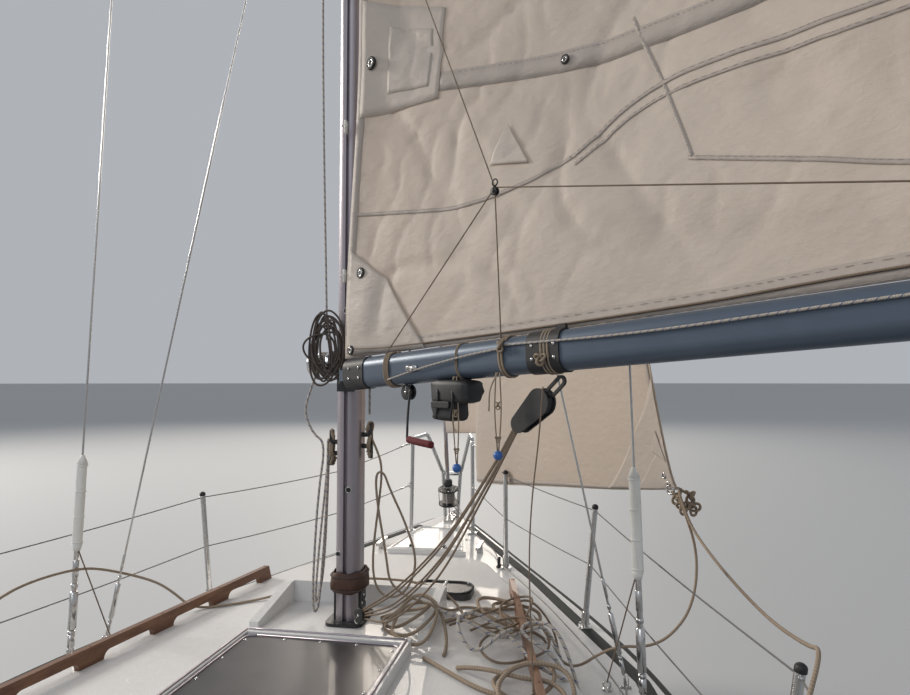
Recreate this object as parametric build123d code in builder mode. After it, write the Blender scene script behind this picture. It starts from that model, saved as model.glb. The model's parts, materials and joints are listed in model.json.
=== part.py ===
"""Small sailing yacht of about seven metres, afloat, with her boom squared off to starboard.

Frame: +X forward, +Y to port, +Z up. The origin is on the centreline at the waterline,
level with the mast. Sizes are in millimetres.
"""

import os
from math import cos, radians, sin, sqrt

from build123d import *

os.makedirs("parts", exist_ok=True)

SIDES = (("port", 1), ("starboard", -1))

# Hull: the sheer is one large arc, lowest at sheer_low_x
sheer_radius = 55000
sheer_low_x = -2900
sheer_low_z = 740
transom_x = -4650
stem_x = 2250
deck_thickness = 30
deck_camber = 0.035
cabin_wall = 30

# Hull stations, in planes that tilt from upright to the raked stem
# x at the sheer, half beam, x at the keel line, z at the keel line, bilge out, bilge up, radius
STATIONS = [
    (transom_x, 940, transom_x, 20, 0.90, 0.12, 260),
    (-3900, 1095, -3900, -135, 0.91, 0.12, 290),
    (-2700, 1265, -2700, -285, 0.92, 0.13, 340),
    (-1000, 1320, -1000, -350, 0.92, 0.14, 380),
    (100, 1140, 80, -340, 0.88, 0.17, 350),
    (1100, 675, 1000, -250, 0.71, 0.27, 310),
    (1900, 235, 1570, -70, 0.59, 0.35, 260),
    (stem_x, 20, 1800, 40, 0.60, 0.40, 200),
]

# Coachroof and cabin
roof_z = 1015
roof_camber_radius = 8000
roof_wall = 35
roof_aft_x = -1450
roof_edge = 16
trunk_base_z = 730
trunk_top_z = roof_z + 60
# x and half width at the deck, x and half width at the top, corner radius
TRUNK_OUTLINE = [
    (roof_aft_x, 1000, roof_aft_x, 930, 20),
    (-450, 965, -450, 880, 600),
    (560, 690, 500, 585, 500),
    (1250, 400, 900, 385, 110),
]
# x and half width of the space between the bunks' outer edges
CABIN_OUTLINE = [(roof_aft_x + cabin_wall, 930), (-450, 880), (500, 570), (850, 360)]
bunk_z = 200
sole_z = -190
sole_half = 290
sole_x = (roof_aft_x + 70, 650)

# Cockpit
cockpit_aft_x = -4150
coaming_half = (1000, 800)
coaming_top = (925, 850)
coaming_width = 120
seat_z = 520
bench_z = 440
bench_half = 620
well_floor_z = 170
well_half = 275
well_x = (-3900, -1650)
cockpit_base_z = 130
locker_x = (-3250, -2250)
locker_y = (335, 585)
locker_floor_z = 210
locker_lid_thickness = 25
lid_overhang = 22

# Companionway and its sliding hatch, drawn slid open
companion_half = 250
companion_sill_z = 580
companion_front_x = -800
hatch_length = 700
hatch_width = 560
hatch_thickness = 14
hatch_front_x = -280
rail_width = 24
running_gap = 0.4

# Foredeck locker lid
fore_lid_x = (1330, 1800)
fore_lid_half = (235, 150)
fore_lid_thickness = 28
lid_gap = 0.5
knuckle_radius = 7
knuckle_length = 60

# Deck light in the coachroof
light_at = (390, -290)
light_size = (170, 260)
light_thickness = 16

# Side windows: x from and to, z from and to
WINDOWS = [(-1250, -650), (-520, 40)]
window_z = (850, 945)
window_thickness = 10

# Keel and rudder
keel_root = (-350, -1650)
keel_tip = (-560, -1480)
keel_root_thickness = 170
keel_tip_thickness = 150
keel_depth_z = -1200
keel_top_z = -300
rudder_axis_x = transom_x - 42
rudder_chord = 330
rudder_thickness = 42
rudder_low_z = -950
rudder_head_z = 960
pintle_radius = 7
pintle_heights = (190, 560)
gudgeon_height = 30
tiller_length = 1180
tiller_rise = 9
tiller_size = (46, 34)
rudder_cheek = 9

# Mast and standing rigging
mast_foot_z = roof_z
mast_top_z = 9200
mast_depth = 130
mast_breadth = 95
groove_width = 16
groove_depth = 22
spreader_z = 5600
spreader_half = 950
spreader_sweep = 80
spreader_root = (64, 24)
spreader_tip = (36, 16)
boot_radius = 10
chainplate_y = 1075
chainplate_x = -170
chainplate_rise = 45
chainplate_depth = 75
lower_forward = 140
lower_inward = 45
stay_radius = 4
stay_gap = 1.2
tube_radius = 19
rod_radius = 10
rod_length = 430
tube_length = 310
forestay_x = 2070
forestay_top_z = 9050
foil_radius = 13
drum_z = 1085
backstay_half = 700
bridle_z = 3000
bridle_plate = 60

# Boom, swung out to starboard about the luff
boom_angle = 54
boom_rise = 3.4
boom_length = 2750
boom_height = 110
boom_breadth = 76
luff_x = -(mast_depth / 2 + 42)
gooseneck_z = 1950
sail_thickness = 6
mainsail_tack_z = 2013
mainsail_head_z = 9030

# Jib, hanging slack from the foil
jib_tack_z = 1580
jib_head_z = 8500
jib_clew = (150, -1250, 1520)
jib_luff_gap = 8

# Rails and lifelines
tube_radius_rail = 12.5
stanchion_height = 520
foot_plate = (70, 55, 8)
foot_sink = 20
socket_height = 60
# x and half breadth of each stanchion at the deck, and its lean outboard at the top
STANCHIONS = [(1200, 480, 0), (530, 895, 50), (-900, 1255, 85), (-2500, 1200, 60)]
pulpit_height = 600
pushpit_height = 600

# Deck fittings
handrail_from = (520, 575)
handrail_to = (-1150, 865)
handrail_bar = (30, 24)
handrail_feet = 6
handrail_foot_length = 95
handrail_rise = 34
handrail_sink = 30
handrail_slope = 32
strake_height = 55
strake_drop = 8
strake_width = 34
strake_end_x = stem_x - 110
winch_base_radius = 58
winch_x = -2050
winch_gap = 0.5
mast_winch_base_length = 34


def sheer_z(x, drop=0):
    """Height of the sheer arc, or of the arc that lies drop below it."""
    return sheer_low_z + sheer_radius - sqrt((sheer_radius + drop) ** 2 - (x - sheer_low_x) ** 2)


def station_plane(x_sheer, x_keel, z_keel):
    """Plane of a station, its origin at the keel line and its y axis up to the sheer."""
    up = Vector(x_sheer - x_keel, 0, sheer_z(x_sheer) - z_keel)
    return Plane(origin=(x_keel, 0, z_keel), x_dir=(0, 1, 0), z_dir=Vector(0, 1, 0).cross(up))


def half_beam(x):
    """Half beam at the sheer between two stations."""
    for aft, fore in zip(STATIONS, STATIONS[1:]):
        if aft[0] <= x <= fore[0]:
            share = (x - aft[0]) / (fore[0] - aft[0])
            return aft[1] + share * (fore[1] - aft[1])
    return STATIONS[0][1]


def deck_z(x, y=0):
    """Height of the cambered deck."""
    half = half_beam(x)
    return sheer_z(x) + deck_camber * half * (1 - (y / half) ** 2)


def roof_surface_z(y):
    """Height of the cambered coachroof."""
    return roof_z - roof_camber_radius + sqrt(roof_camber_radius**2 - y**2)


def block(low, high, mode=Mode.ADD):
    """Box between two corners, for the builder that is open."""
    size = Vector(*high) - Vector(*low)
    with Locations(Vector(*low) + size / 2):
        Box(size.X, size.Y, size.Z, mode=mode)


def rod(start, end, radius):
    """Round rod between two points, for the builder that is open."""
    run = Vector(*end) - Vector(*start)
    with BuildSketch(Plane(origin=start, z_dir=run)) as profile:
        Circle(radius)
    extrude(profile.sketch, amount=run.length)


def bent_tube(points, bend, radius):
    """Round tube along runs joined by arcs, for the builder that is open."""
    with BuildLine() as path:
        FilletPolyline(*points, radius=bend)
    with BuildSketch(Plane(origin=path.line @ 0, z_dir=path.line % 0)) as profile:
        Circle(radius)
    sweep(profile.sketch, path=path.line)


def finished(name, part):
    """Labels a piece and writes it under its name."""
    part.label = name
    export_step(part, f"parts/{name}.step")


def mirrored_outline(rows):
    """Port side points, then the same on the starboard side in reverse."""
    return [(x, y) for x, y in rows] + [(x, -y) for x, y in reversed(rows)]


def station_face(row, widen):
    """Section of hull and deck at a station, wider by widen on each side."""
    x_sheer, half, x_keel, z_keel, out, up, turn = row
    half += widen
    depth = Vector(x_sheer - x_keel, 0, sheer_z(x_sheer) - z_keel).length
    with BuildSketch(station_plane(x_sheer, x_keel, z_keel)) as section:
        with BuildLine():
            side = FilletPolyline((0, 0), (out * half, up * depth), (half, depth), radius=turn)
            mirror(side, about=Plane.YZ)
            ThreePointArc((half, depth), (0, depth + deck_camber * half), (-half, depth))
        make_face()
    return section.sketch


def sheer_band(low_drop, high_drop):
    """Everything between two arcs that lie below the sheer by those drops."""
    ends = (transom_x - 300, sheer_low_x, stem_x + 300)
    low = [(x, sheer_z(x, low_drop)) for x in ends]
    high = [(x, sheer_z(x, high_drop)) for x in ends]
    with BuildSketch(Plane.XZ.offset(-2000)) as band:
        with BuildLine():
            ThreePointArc(*low)
            ThreePointArc(*high)
            Line(low[0], high[0])
            Line(low[2], high[2])
        make_face()
    extrude(band.sketch, amount=4000)


# Hull and deck as one form, cut later along one arc
with BuildPart() as envelope:
    loft([station_face(row, 0) for row in STATIONS])

# Everything above the underside of the deck
with BuildPart() as above_deck_line:
    sheer_band(deck_thickness, -600)

# Space of the cabin below the coachroof
with BuildPart() as cabin_space:
    with BuildSketch(Plane.XY.offset(bunk_z)):
        Polygon(*mirrored_outline(CABIN_OUTLINE), align=None)
    extrude(amount=trunk_top_z - bunk_z)
    block((sole_x[0], -sole_half, sole_z), (sole_x[1], sole_half, bunk_z + 1))

# Outline of the cockpit moulding, at the coaming and down to the footwell
cockpit_outline = mirrored_outline([(roof_aft_x, coaming_half[0]), (cockpit_aft_x, coaming_half[1])])
with BuildPart() as cockpit_space:
    with BuildSketch(Plane.XY.offset(bench_z)):
        Polygon(*cockpit_outline, align=None)
    extrude(amount=1200 - bench_z)
    block((cockpit_aft_x + 100, -bench_half, cockpit_base_z), (roof_aft_x, bench_half, bench_z))

# Way through the bulkhead from the cockpit into the cabin
with BuildPart() as companionway:
    block(
        (roof_aft_x - 10, -companion_half, companion_sill_z),
        (companion_front_x, companion_half, roof_z + 200),
    )

with BuildPart() as hull:
    add(envelope.part)
    add(above_deck_line.part, mode=Mode.SUBTRACT)
    add(cabin_space.part, mode=Mode.SUBTRACT)
    add(cockpit_space.part, mode=Mode.SUBTRACT)
    add(companionway.part, mode=Mode.SUBTRACT)
finished("hull", hull.part)

with BuildPart() as deck:
    add(envelope.part)
    add(above_deck_line.part, mode=Mode.INTERSECT)
    add(cabin_space.part, mode=Mode.SUBTRACT)
    add(cockpit_space.part, mode=Mode.SUBTRACT)
    add(companionway.part, mode=Mode.SUBTRACT)
finished("deck", deck.part)


def trunk_face(height, x_column, half_column, inset):
    """Outline of the coachroof at the deck or at its top, drawn in by a wall's thickness."""
    points = mirrored_outline([(row[x_column], row[half_column]) for row in TRUNK_OUTLINE])
    turns = [row[4] for row in TRUNK_OUTLINE]
    with BuildSketch(Plane.XY.offset(height)) as outline:
        with BuildLine():
            FilletPolyline(*points, radius=turns + turns[::-1], close=True)
        make_face()
        if inset:
            offset(amount=-inset, mode=Mode.REPLACE)
    return outline.sketch


def trunk(inset):
    """Closed form of the coachroof under its cambered top, for the builder that is open."""
    loft([trunk_face(trunk_base_z, 0, 1, inset), trunk_face(trunk_top_z, 2, 3, inset)])
    with BuildSketch(Plane.YZ.offset(roof_aft_x - 100)) as camber:
        with Locations((0, roof_z - roof_camber_radius)):
            Circle(roof_camber_radius - inset)
    extrude(camber.sketch, amount=stem_x - transom_x, mode=Mode.INTERSECT)


with BuildPart() as roof_outside:
    trunk(0)
    chamfer(faces().sort_by(Axis.Z)[-1].edges(), roof_edge)

with BuildPart() as roof_inside:
    trunk(roof_wall)

with BuildPart() as side_windows_cut:
    for x_aft, x_fore in WINDOWS:
        with BuildSketch(Plane.XZ.offset(-1500)):
            with Locations(((x_aft + x_fore) / 2, sum(window_z) / 2)):
                SlotOverall(x_fore - x_aft, window_z[1] - window_z[0])
        extrude(amount=3000)

with BuildPart() as coachroof:
    add(roof_outside.part)
    add(roof_inside.part, mode=Mode.SUBTRACT)
    add(side_windows_cut.part, mode=Mode.SUBTRACT)
    add(companionway.part, mode=Mode.SUBTRACT)
    add(envelope.part, mode=Mode.SUBTRACT)
    with BuildSketch(Plane.XY.offset(roof_z - 200)):
        with Locations(light_at):
            RectangleRounded(light_size[0] - 60, light_size[1] - 60, 30)
    extrude(amount=400, mode=Mode.SUBTRACT)
finished("coachroof", coachroof.part)

# Clear panes, flush in the coachroof's sides
with BuildPart() as window_skin:
    trunk(window_thickness)

with BuildPart() as side_windows:
    add(roof_outside.part)
    add(window_skin.part, mode=Mode.SUBTRACT)
    add(side_windows_cut.part, mode=Mode.INTERSECT)
finished("side_windows", side_windows.part)

# Deck light: a tinted pane on the cambered roof
with BuildPart() as deck_light:
    with BuildSketch(Plane.XY.offset(roof_z - 60)):
        with Locations(light_at):
            RectangleRounded(*light_size, 45)
    extrude(amount=60 + light_thickness)
    add(roof_outside.part, mode=Mode.SUBTRACT)
finished("deck_light", deck_light.part)

# Cockpit moulding: coamings, seats with lockers, and the footwell
seat_outline = mirrored_outline(
    [
        (roof_aft_x, coaming_half[0] - coaming_width),
        (cockpit_aft_x + coaming_width, coaming_half[1] - coaming_width),
    ]
)
with BuildPart() as cockpit:
    add(cockpit_space.part)
    with BuildSketch(Plane.XZ.offset(-1500)):
        Polygon(
            (roof_aft_x + 1, coaming_top[0]),
            (cockpit_aft_x - 1, coaming_top[1]),
            (cockpit_aft_x - 1, 1300),
            (roof_aft_x + 1, 1300),
            align=None,
        )
    extrude(amount=3000, mode=Mode.SUBTRACT)
    with BuildSketch(Plane.XY.offset(seat_z)):
        Polygon(*seat_outline, align=None)
    extrude(amount=1000, mode=Mode.SUBTRACT)
    with Locations(Vector(sum(well_x) / 2, 0, (well_floor_z + seat_z) / 2)):
        Box(well_x[1] - well_x[0], 2 * well_half, seat_z - well_floor_z, mode=Mode.SUBTRACT)
    for _, side in SIDES:
        with Locations(
            Vector(sum(locker_x) / 2, side * sum(locker_y) / 2, (locker_floor_z + seat_z) / 2)
        ):
            Box(
                locker_x[1] - locker_x[0],
                locker_y[1] - locker_y[0],
                seat_z - locker_floor_z,
                mode=Mode.SUBTRACT,
            )
finished("cockpit", cockpit.part)

# Locker lids lie on the seats and hinge at their outboard edge
lid_x = (locker_x[0] - lid_overhang, locker_x[1] + lid_overhang)
lid_y = (locker_y[0] - lid_overhang, locker_y[1] + lid_overhang)
for name, side in SIDES:
    with BuildPart() as locker_lid:
        with BuildSketch(Plane.XY.offset(seat_z + lid_gap)):
            with Locations((sum(lid_x) / 2, side * sum(lid_y) / 2)):
                RectangleRounded(lid_x[1] - lid_x[0], lid_y[1] - lid_y[0], 30)
        extrude(amount=locker_lid_thickness)
        hinge_at = (side * lid_y[1], seat_z + lid_gap + locker_lid_thickness)
        for x in (lid_x[0] + 180, lid_x[1] - 180):
            rod((x - knuckle_length / 2, *hinge_at), (x + knuckle_length / 2, *hinge_at), knuckle_radius)
    finished(f"locker_lid_{name}", locker_lid.part)

# Foredeck locker lid follows the deck's camber and hinges at its forward edge
with BuildPart() as fore_lid:
    with BuildSketch(Plane.XY.offset(sheer_z(fore_lid_x[0]) - 60)):
        Polygon(
            *mirrored_outline([(fore_lid_x[0], fore_lid_half[0]), (fore_lid_x[1], fore_lid_half[1])]),
            align=None,
        )
    extrude(amount=400)
    add(envelope.part.moved(Location((0, 0, fore_lid_thickness))), mode=Mode.INTERSECT)
    add(envelope.part.moved(Location((0, 0, lid_gap))), mode=Mode.SUBTRACT)
    fore_hinge_z = deck_z(fore_lid_x[1], fore_lid_half[1]) + fore_lid_thickness
    for y in (fore_lid_half[1] - 50, 50 - fore_lid_half[1]):
        rod(
            (fore_lid_x[1], y - knuckle_length / 2, fore_hinge_z),
            (fore_lid_x[1], y + knuckle_length / 2, fore_hinge_z),
            knuckle_radius,
        )
finished("fore_lid", fore_lid.part)


def foil_face(height, fore_x, aft_x, thickness):
    """Section of a fin: a round nose, then straight sides to a thin trailing edge."""
    nose = thickness / 2
    tail = 6
    with BuildSketch(Plane.XY.offset(height)) as section:
        with BuildLine():
            ThreePointArc((fore_x - nose, nose), (fore_x, 0), (fore_x - nose, -nose))
            Line((fore_x - nose, -nose), (aft_x, -tail))
            Line((aft_x, -tail), (aft_x, tail))
            Line((aft_x, tail), (fore_x - nose, nose))
        make_face()
    return section.sketch


# Fin keel, bolted under the hull
with BuildPart() as keel:
    loft(
        [
            foil_face(keel_depth_z, keel_tip[0], keel_tip[1], keel_tip_thickness),
            foil_face(keel_top_z + 60, keel_root[0], keel_root[1], keel_root_thickness),
        ],
        ruled=True,
    )
    add(envelope.part, mode=Mode.SUBTRACT)
finished("keel", keel.part)

# Rubbing strake along each side, just under the deck's edge
with BuildPart() as strakes:
    loft([station_face(row, strake_width) for row in STATIONS])
    with BuildPart(mode=Mode.INTERSECT):
        sheer_band(strake_drop + strake_height, strake_drop)
    add(envelope.part, mode=Mode.SUBTRACT)
    block((strake_end_x, -200, 0), (stem_x + 200, 200, 1500), Mode.SUBTRACT)
finished("strakes", strakes.part)

# Transom gudgeons, each an eye on a plate
with BuildPart() as gudgeons:
    for height in pintle_heights:
        block(
            (rudder_axis_x - pintle_radius - 7, -9, height),
            (transom_x, 9, height + gudgeon_height),
        )
        block((transom_x - 5, -45, height), (transom_x, 45, height + gudgeon_height))
        with Locations(Vector(rudder_axis_x, 0, height + gudgeon_height / 2)):
            Cylinder(2 * pintle_radius, gudgeon_height)
            Cylinder(pintle_radius + 0.3, 4 * gudgeon_height, mode=Mode.SUBTRACT)
finished("gudgeons", gudgeons.part)

# Rudder: blade behind the axis, straps with pintles, and a head for the tiller
with BuildPart() as rudder:
    blade_x = rudder_axis_x - 2 * pintle_radius - 4
    loft(
        [
            foil_face(rudder_low_z, blade_x - 40, blade_x - 0.8 * rudder_chord, 0.6 * rudder_thickness),
            foil_face(0, blade_x, blade_x - rudder_chord, rudder_thickness),
            foil_face(rudder_head_z, blade_x, blade_x - 0.6 * rudder_chord, rudder_thickness),
        ],
        ruled=True,
    )
    for height in pintle_heights:
        low = height + gudgeon_height + 1
        block(
            (blade_x - rudder_chord / 3, -rudder_thickness / 2 - 4, low),
            (rudder_axis_x, rudder_thickness / 2 + 4, low + gudgeon_height / 2),
        )
        with Locations(Vector(rudder_axis_x, 0, low + gudgeon_height / 4)):
            Cylinder(2 * pintle_radius, gudgeon_height / 2)
        with Locations(Vector(rudder_axis_x, 0, low - gudgeon_height / 2)):
            Cylinder(pintle_radius, gudgeon_height + 1)
finished("rudder", rudder.part)

# Tiller: cheeks astride the rudder's head, a pivot bolt and a tapering bar
tiller_pivot = Vector(blade_x - 70, 0, rudder_head_z - 45)
tiller_dir = Vector(cos(radians(tiller_rise)), 0, sin(radians(tiller_rise)))
tiller_fore = tiller_pivot + tiller_dir * 150
tiller_end = tiller_pivot + tiller_dir * tiller_length
with BuildPart() as tiller:
    for side in (1, -1):
        inner = side * (rudder_thickness / 2 + 1)
        with BuildSketch(Plane.XZ.offset(-inner)):
            with Locations(Location((tiller_pivot.X, tiller_pivot.Z), tiller_rise)):
                with Locations((80, 0)):
                    SlotOverall(230, 50)
        extrude(amount=-side * rudder_cheek)
    with BuildSketch(Plane(origin=tiller_fore, x_dir=(0, 1, 0), z_dir=tiller_dir)):
        Rectangle(rudder_thickness + 2 + rudder_cheek, tiller_size[0])
    with BuildSketch(Plane(origin=tiller_end, x_dir=(0, 1, 0), z_dir=tiller_dir)):
        Rectangle(tiller_size[1] - 6, tiller_size[1] - 6)
    loft()
finished("tiller", tiller.part)

# Mast: an oval section with the luff groove aft
with BuildPart() as mast:
    with BuildSketch(Plane.XY.offset(mast_foot_z + 12)):
        RectangleRounded(mast_depth, mast_breadth, mast_breadth / 2 - 1)
        with Locations((-mast_depth / 2 + groove_depth / 2, 0)):
            Rectangle(groove_depth, groove_width, mode=Mode.SUBTRACT)
    extrude(amount=mast_top_z - mast_foot_z - 12)
finished("mast", mast.part)

# Mast step: a shoe on the coachroof with a plate up each side of the mast
step_gap = 0.5
step_thickness = 12
step_margin = (60, 50, 30)
step_plate = (60, 6, 100)
with BuildPart() as mast_step:
    with BuildSketch(Plane.XY.offset(mast_foot_z)):
        RectangleRounded(mast_depth + step_margin[0], mast_breadth + step_margin[1], step_margin[2])
    extrude(amount=step_thickness)
    for side in (1, -1):
        face_y = side * (mast_breadth / 2 + step_gap + step_plate[1] / 2)
        with Locations(Vector(0, face_y, mast_foot_z + step_thickness + step_plate[2] / 2)):
            Box(*step_plate)
finished("mast_step", mast_step.part)

# Moulded wall round the mast's well, open aft and notched for the lines
well_fore_x = 210
well_aft_x = -150
well_half_width = 340
well_wall = 36
well_height = 80
with BuildPart() as mast_well:
    with BuildSketch(Plane.XY.offset(roof_z - 60)):
        with Locations(((well_fore_x + well_aft_x) / 2, 0)):
            Rectangle(well_fore_x - well_aft_x, 2 * well_half_width)
        with Locations(((well_fore_x - well_wall + well_aft_x) / 2, 0)):
            inside = (well_fore_x - well_wall - well_aft_x, 2 * (well_half_width - well_wall))
            Rectangle(*inside, mode=Mode.SUBTRACT)
    extrude(amount=60 + well_height)
    with BuildSketch(Plane.XZ.offset(-500)):
        Polygon(
            (well_aft_x - 1, roof_z + 20),
            (well_aft_x - 1, roof_z + 200),
            (well_fore_x - 60, roof_z + 200),
            (well_fore_x - 60, roof_z + well_height),
            align=None,
        )
    extrude(amount=1000, mode=Mode.SUBTRACT)
    add(roof_outside.part, mode=Mode.SUBTRACT)
finished("mast_well", mast_well.part)

# Masthead: a crane that carries the forestay forward and the backstay aft
masthead_fore = 85
masthead_aft = -170
masthead_half = 20
masthead_edge = 30
masthead_rise = 55
masthead_crown = 60
sheave = (24, 14)
with BuildPart() as masthead:
    with BuildSketch(Plane.XZ.offset(-masthead_half)):
        Polygon(
            (masthead_aft, mast_top_z),
            (masthead_fore, mast_top_z),
            (masthead_fore, mast_top_z + masthead_edge),
            (masthead_crown, mast_top_z + masthead_rise),
            (-masthead_crown, mast_top_z + masthead_rise),
            (masthead_aft, mast_top_z + masthead_edge),
            align=None,
        )
    extrude(amount=2 * masthead_half)
    for x in (masthead_aft + sheave[0], masthead_fore - sheave[0]):
        with BuildSketch(Plane.XZ.offset(-sheave[1])):
            with Locations((x, mast_top_z + masthead_edge)):
                Circle(sheave[0])
        extrude(amount=2 * sheave[1])
finished("masthead", masthead.part)


def along(start, end, distance):
    """Point at a distance from start on the way to end."""
    start, end = Vector(*start), Vector(*end)
    return start + (end - start).normalized() * distance


# Spreaders: flattened tubes that taper and sweep aft, each from a root plate
cap_bend = {}
with BuildPart() as spreaders:
    for name, side in SIDES:
        plate_y = mast_breadth / 2 + step_gap
        root = Vector(0, side * (plate_y + 5), spreader_z)
        tip = Vector(-spreader_sweep, side * spreader_half, spreader_z)
        run = tip - root
        inner = Plane(origin=root, x_dir=Vector(0, 0, side).cross(run), z_dir=run)
        with BuildSketch(inner) as root_section:
            SlotOverall(*spreader_root)
        with BuildSketch(inner.offset(run.length)) as tip_section:
            SlotOverall(*spreader_tip)
        loft([root_section.sketch, tip_section.sketch])
        low_y, high_y = sorted((side * plate_y, side * (plate_y + 8)))
        block(
            (-spreader_root[0] / 2 - 6, low_y, spreader_z - 45),
            (spreader_root[0] / 2 + 6, high_y, spreader_z + 45),
        )
        cap_bend[name] = tuple(tip + run.normalized() * (boot_radius + 0.3))
finished("spreaders", spreaders.part)

backstay_head = Vector(masthead_aft + 12, 0, mast_top_z - 3 * stay_gap)
stern_x = transom_x + 60
stern_foot_z = deck_z(stern_x, backstay_half) + chainplate_rise
stern_feet = {name: (stern_x, side * backstay_half, stern_foot_z) for name, side in SIDES}
stern_middle = Vector(stern_x, 0, sheer_z(transom_x))
bridle_share = (bridle_z - stern_middle.Z) / (backstay_head.Z - stern_middle.Z)
bridle = stern_middle + (backstay_head - stern_middle) * bridle_share
chainplate_z = deck_z(chainplate_x, chainplate_y) + chainplate_rise
cap_feet = {name: (chainplate_x, side * chainplate_y, chainplate_z) for name, side in SIDES}
lower_feet = {
    name: (chainplate_x + lower_forward, side * (chainplate_y - lower_inward), chainplate_z)
    for name, side in SIDES
}
lower_top_z = spreader_z - 120
stay_end_y = mast_breadth / 2 + stay_radius + stay_gap
tang_half = (18, 4)

# Chainplates: a tang for each shroud and for each leg of the backstay
with BuildPart() as chainplates:
    for name, _ in SIDES:
        for foot, drop in ((cap_feet[name], 0), (lower_feet[name], 0), (stern_feet[name], 4 * stay_gap)):
            x, y, z = foot
            low = (x - tang_half[0], y - tang_half[1], z - chainplate_depth)
            block(low, (x + tang_half[0], y + tang_half[1], z - drop))
    add(envelope.part, mode=Mode.SUBTRACT)
finished("chainplates", chainplates.part)

# Cap shrouds: turnbuckle rod, then wire over the spreader to the masthead
with BuildPart() as cap_shrouds:
    for name, side in SIDES:
        top = along(cap_feet[name], cap_bend[name], rod_length)
        rod(along(cap_feet[name], cap_bend[name], 3 * stay_gap), top, rod_radius)
        rod(top, cap_bend[name], stay_radius)
        with Locations(Vector(*cap_bend[name])):
            Sphere(boot_radius)
        rod(cap_bend[name], (0, side * stay_end_y, forestay_top_z), stay_radius)
finished("cap_shrouds", cap_shrouds.part)

# White sleeves round the cap shrouds above the turnbuckles
with BuildPart() as shroud_sleeves:
    for name, side in SIDES:
        low = along(cap_feet[name], cap_bend[name], rod_length + 1)
        high = along(cap_feet[name], cap_bend[name], rod_length + tube_length)
        rod(low, high, tube_radius)
        with BuildSketch(Plane(origin=low, z_dir=high - low)):
            Circle(stay_radius + 0.3)
        extrude(amount=tube_length, mode=Mode.SUBTRACT)
finished("shroud_sleeves", shroud_sleeves.part)

with BuildPart() as lower_shrouds:
    for name, side in SIDES:
        top = (0, side * stay_end_y, lower_top_z)
        rod(along(lower_feet[name], top, stay_gap), top, stay_radius)
finished("lower_shrouds", lower_shrouds.part)

# Forestay with its furling foil
forestay_tang_z = deck_z(forestay_x) + 40
forestay_foot = (forestay_x, 0, forestay_tang_z + stay_gap)
forestay_head = (masthead_fore - 12, 0, mast_top_z - stay_gap)


def on_forestay(height):
    """Point of the forestay at a height."""
    share = (height - forestay_foot[2]) / (forestay_head[2] - forestay_foot[2])
    return Vector(*forestay_foot) + (Vector(*forestay_head) - Vector(*forestay_foot)) * share


foil_foot = on_forestay(drum_z)
foil_top = on_forestay(jib_head_z + 150)
with BuildPart() as forestay:
    rod(forestay_foot, forestay_head, stay_radius)
    rod(foil_foot, foil_top, foil_radius)
finished("forestay", forestay.part)

# Furling drum: two flanges on a spool
drum_radius = 70
drum_height = 110
with BuildPart() as furler:
    with BuildSketch(Plane(origin=foil_foot, x_dir=(0, 1, 0), z_dir=foil_top - foil_foot)) as spool:
        Circle(drum_radius)
        Circle(foil_radius + 0.5, mode=Mode.SUBTRACT)
    extrude(amount=8)
    with BuildSketch(spool.workplanes[0].offset(drum_height - 8)):
        Circle(drum_radius)
        Circle(foil_radius + 0.5, mode=Mode.SUBTRACT)
    extrude(amount=8)
    with BuildSketch(spool.workplanes[0]):
        Circle(32)
        Circle(foil_radius + 0.5, mode=Mode.SUBTRACT)
    extrude(amount=drum_height)
finished("furler", furler.part)

# Stem fitting: a plate over the bow with the forestay's tang and a shackle eye
eye_radius = 8
with BuildPart() as stem_fitting:
    block((forestay_x - 60, -30, deck_z(stem_x) - 80), (stem_x + 20, 30, deck_z(forestay_x) + 12))
    add(envelope.part, mode=Mode.SUBTRACT)
    block((forestay_x - 22, -5, deck_z(forestay_x) - 10), (forestay_x + 22, 5, forestay_tang_z))
    with BuildSketch(Plane.XZ.offset(-5)):
        with Locations((stem_x + 25, deck_z(stem_x) - 5)):
            Circle(26)
    extrude(amount=10)
    add(envelope.part, mode=Mode.SUBTRACT)
    with Locations(Location((stem_x + 30, 0, deck_z(stem_x) - 5), (90, 0, 0))):
        Cylinder(eye_radius, 40, mode=Mode.SUBTRACT)
finished("stem_fitting", stem_fitting.part)

# Backstay: one wire to a triangle plate, then a leg to each corner of the stern
backstay_dir = (backstay_head - bridle).normalized()
bridle_plane = Plane(origin=bridle, x_dir=(0, 1, 0), z_dir=Vector(0, 1, 0).cross(backstay_dir))
with BuildPart() as backstay:
    rod(bridle, backstay_head, stay_radius)
    with BuildSketch(bridle_plane):
        Polygon(
            (-bridle_plate / 2, -8),
            (bridle_plate / 2, -8),
            (8, bridle_plate),
            (-8, bridle_plate),
            align=None,
        )
    extrude(amount=4, both=True)
finished("backstay", backstay.part)

for name, side in SIDES:
    with BuildPart() as backstay_leg:
        rod(stern_feet[name], bridle + Vector(0, side * (bridle_plate / 2 - 8), 0), stay_radius)
        add(backstay.part, mode=Mode.SUBTRACT)
    finished(f"backstay_leg_{name}", backstay_leg.part)

# Gooseneck: ears on the mast and a pin that the boom's tongue turns on
ear = 8
ear_half = 14
ear_gap = 44
with BuildPart() as gooseneck:
    block((-mast_depth / 2 - 5, -35, gooseneck_z - 60), (-mast_depth / 2, 35, gooseneck_z + 60))
    for low in (gooseneck_z - ear_gap / 2 - ear, gooseneck_z + ear_gap / 2):
        block((luff_x, -ear_half, low), (-mast_depth / 2 - 5, ear_half, low + ear))
        with Locations(Vector(luff_x, 0, low + ear / 2)):
            Cylinder(ear_half, ear)
    with Locations(Vector(luff_x, 0, gooseneck_z)):
        Cylinder(6, ear_gap)
finished("gooseneck", gooseneck.part)

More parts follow.
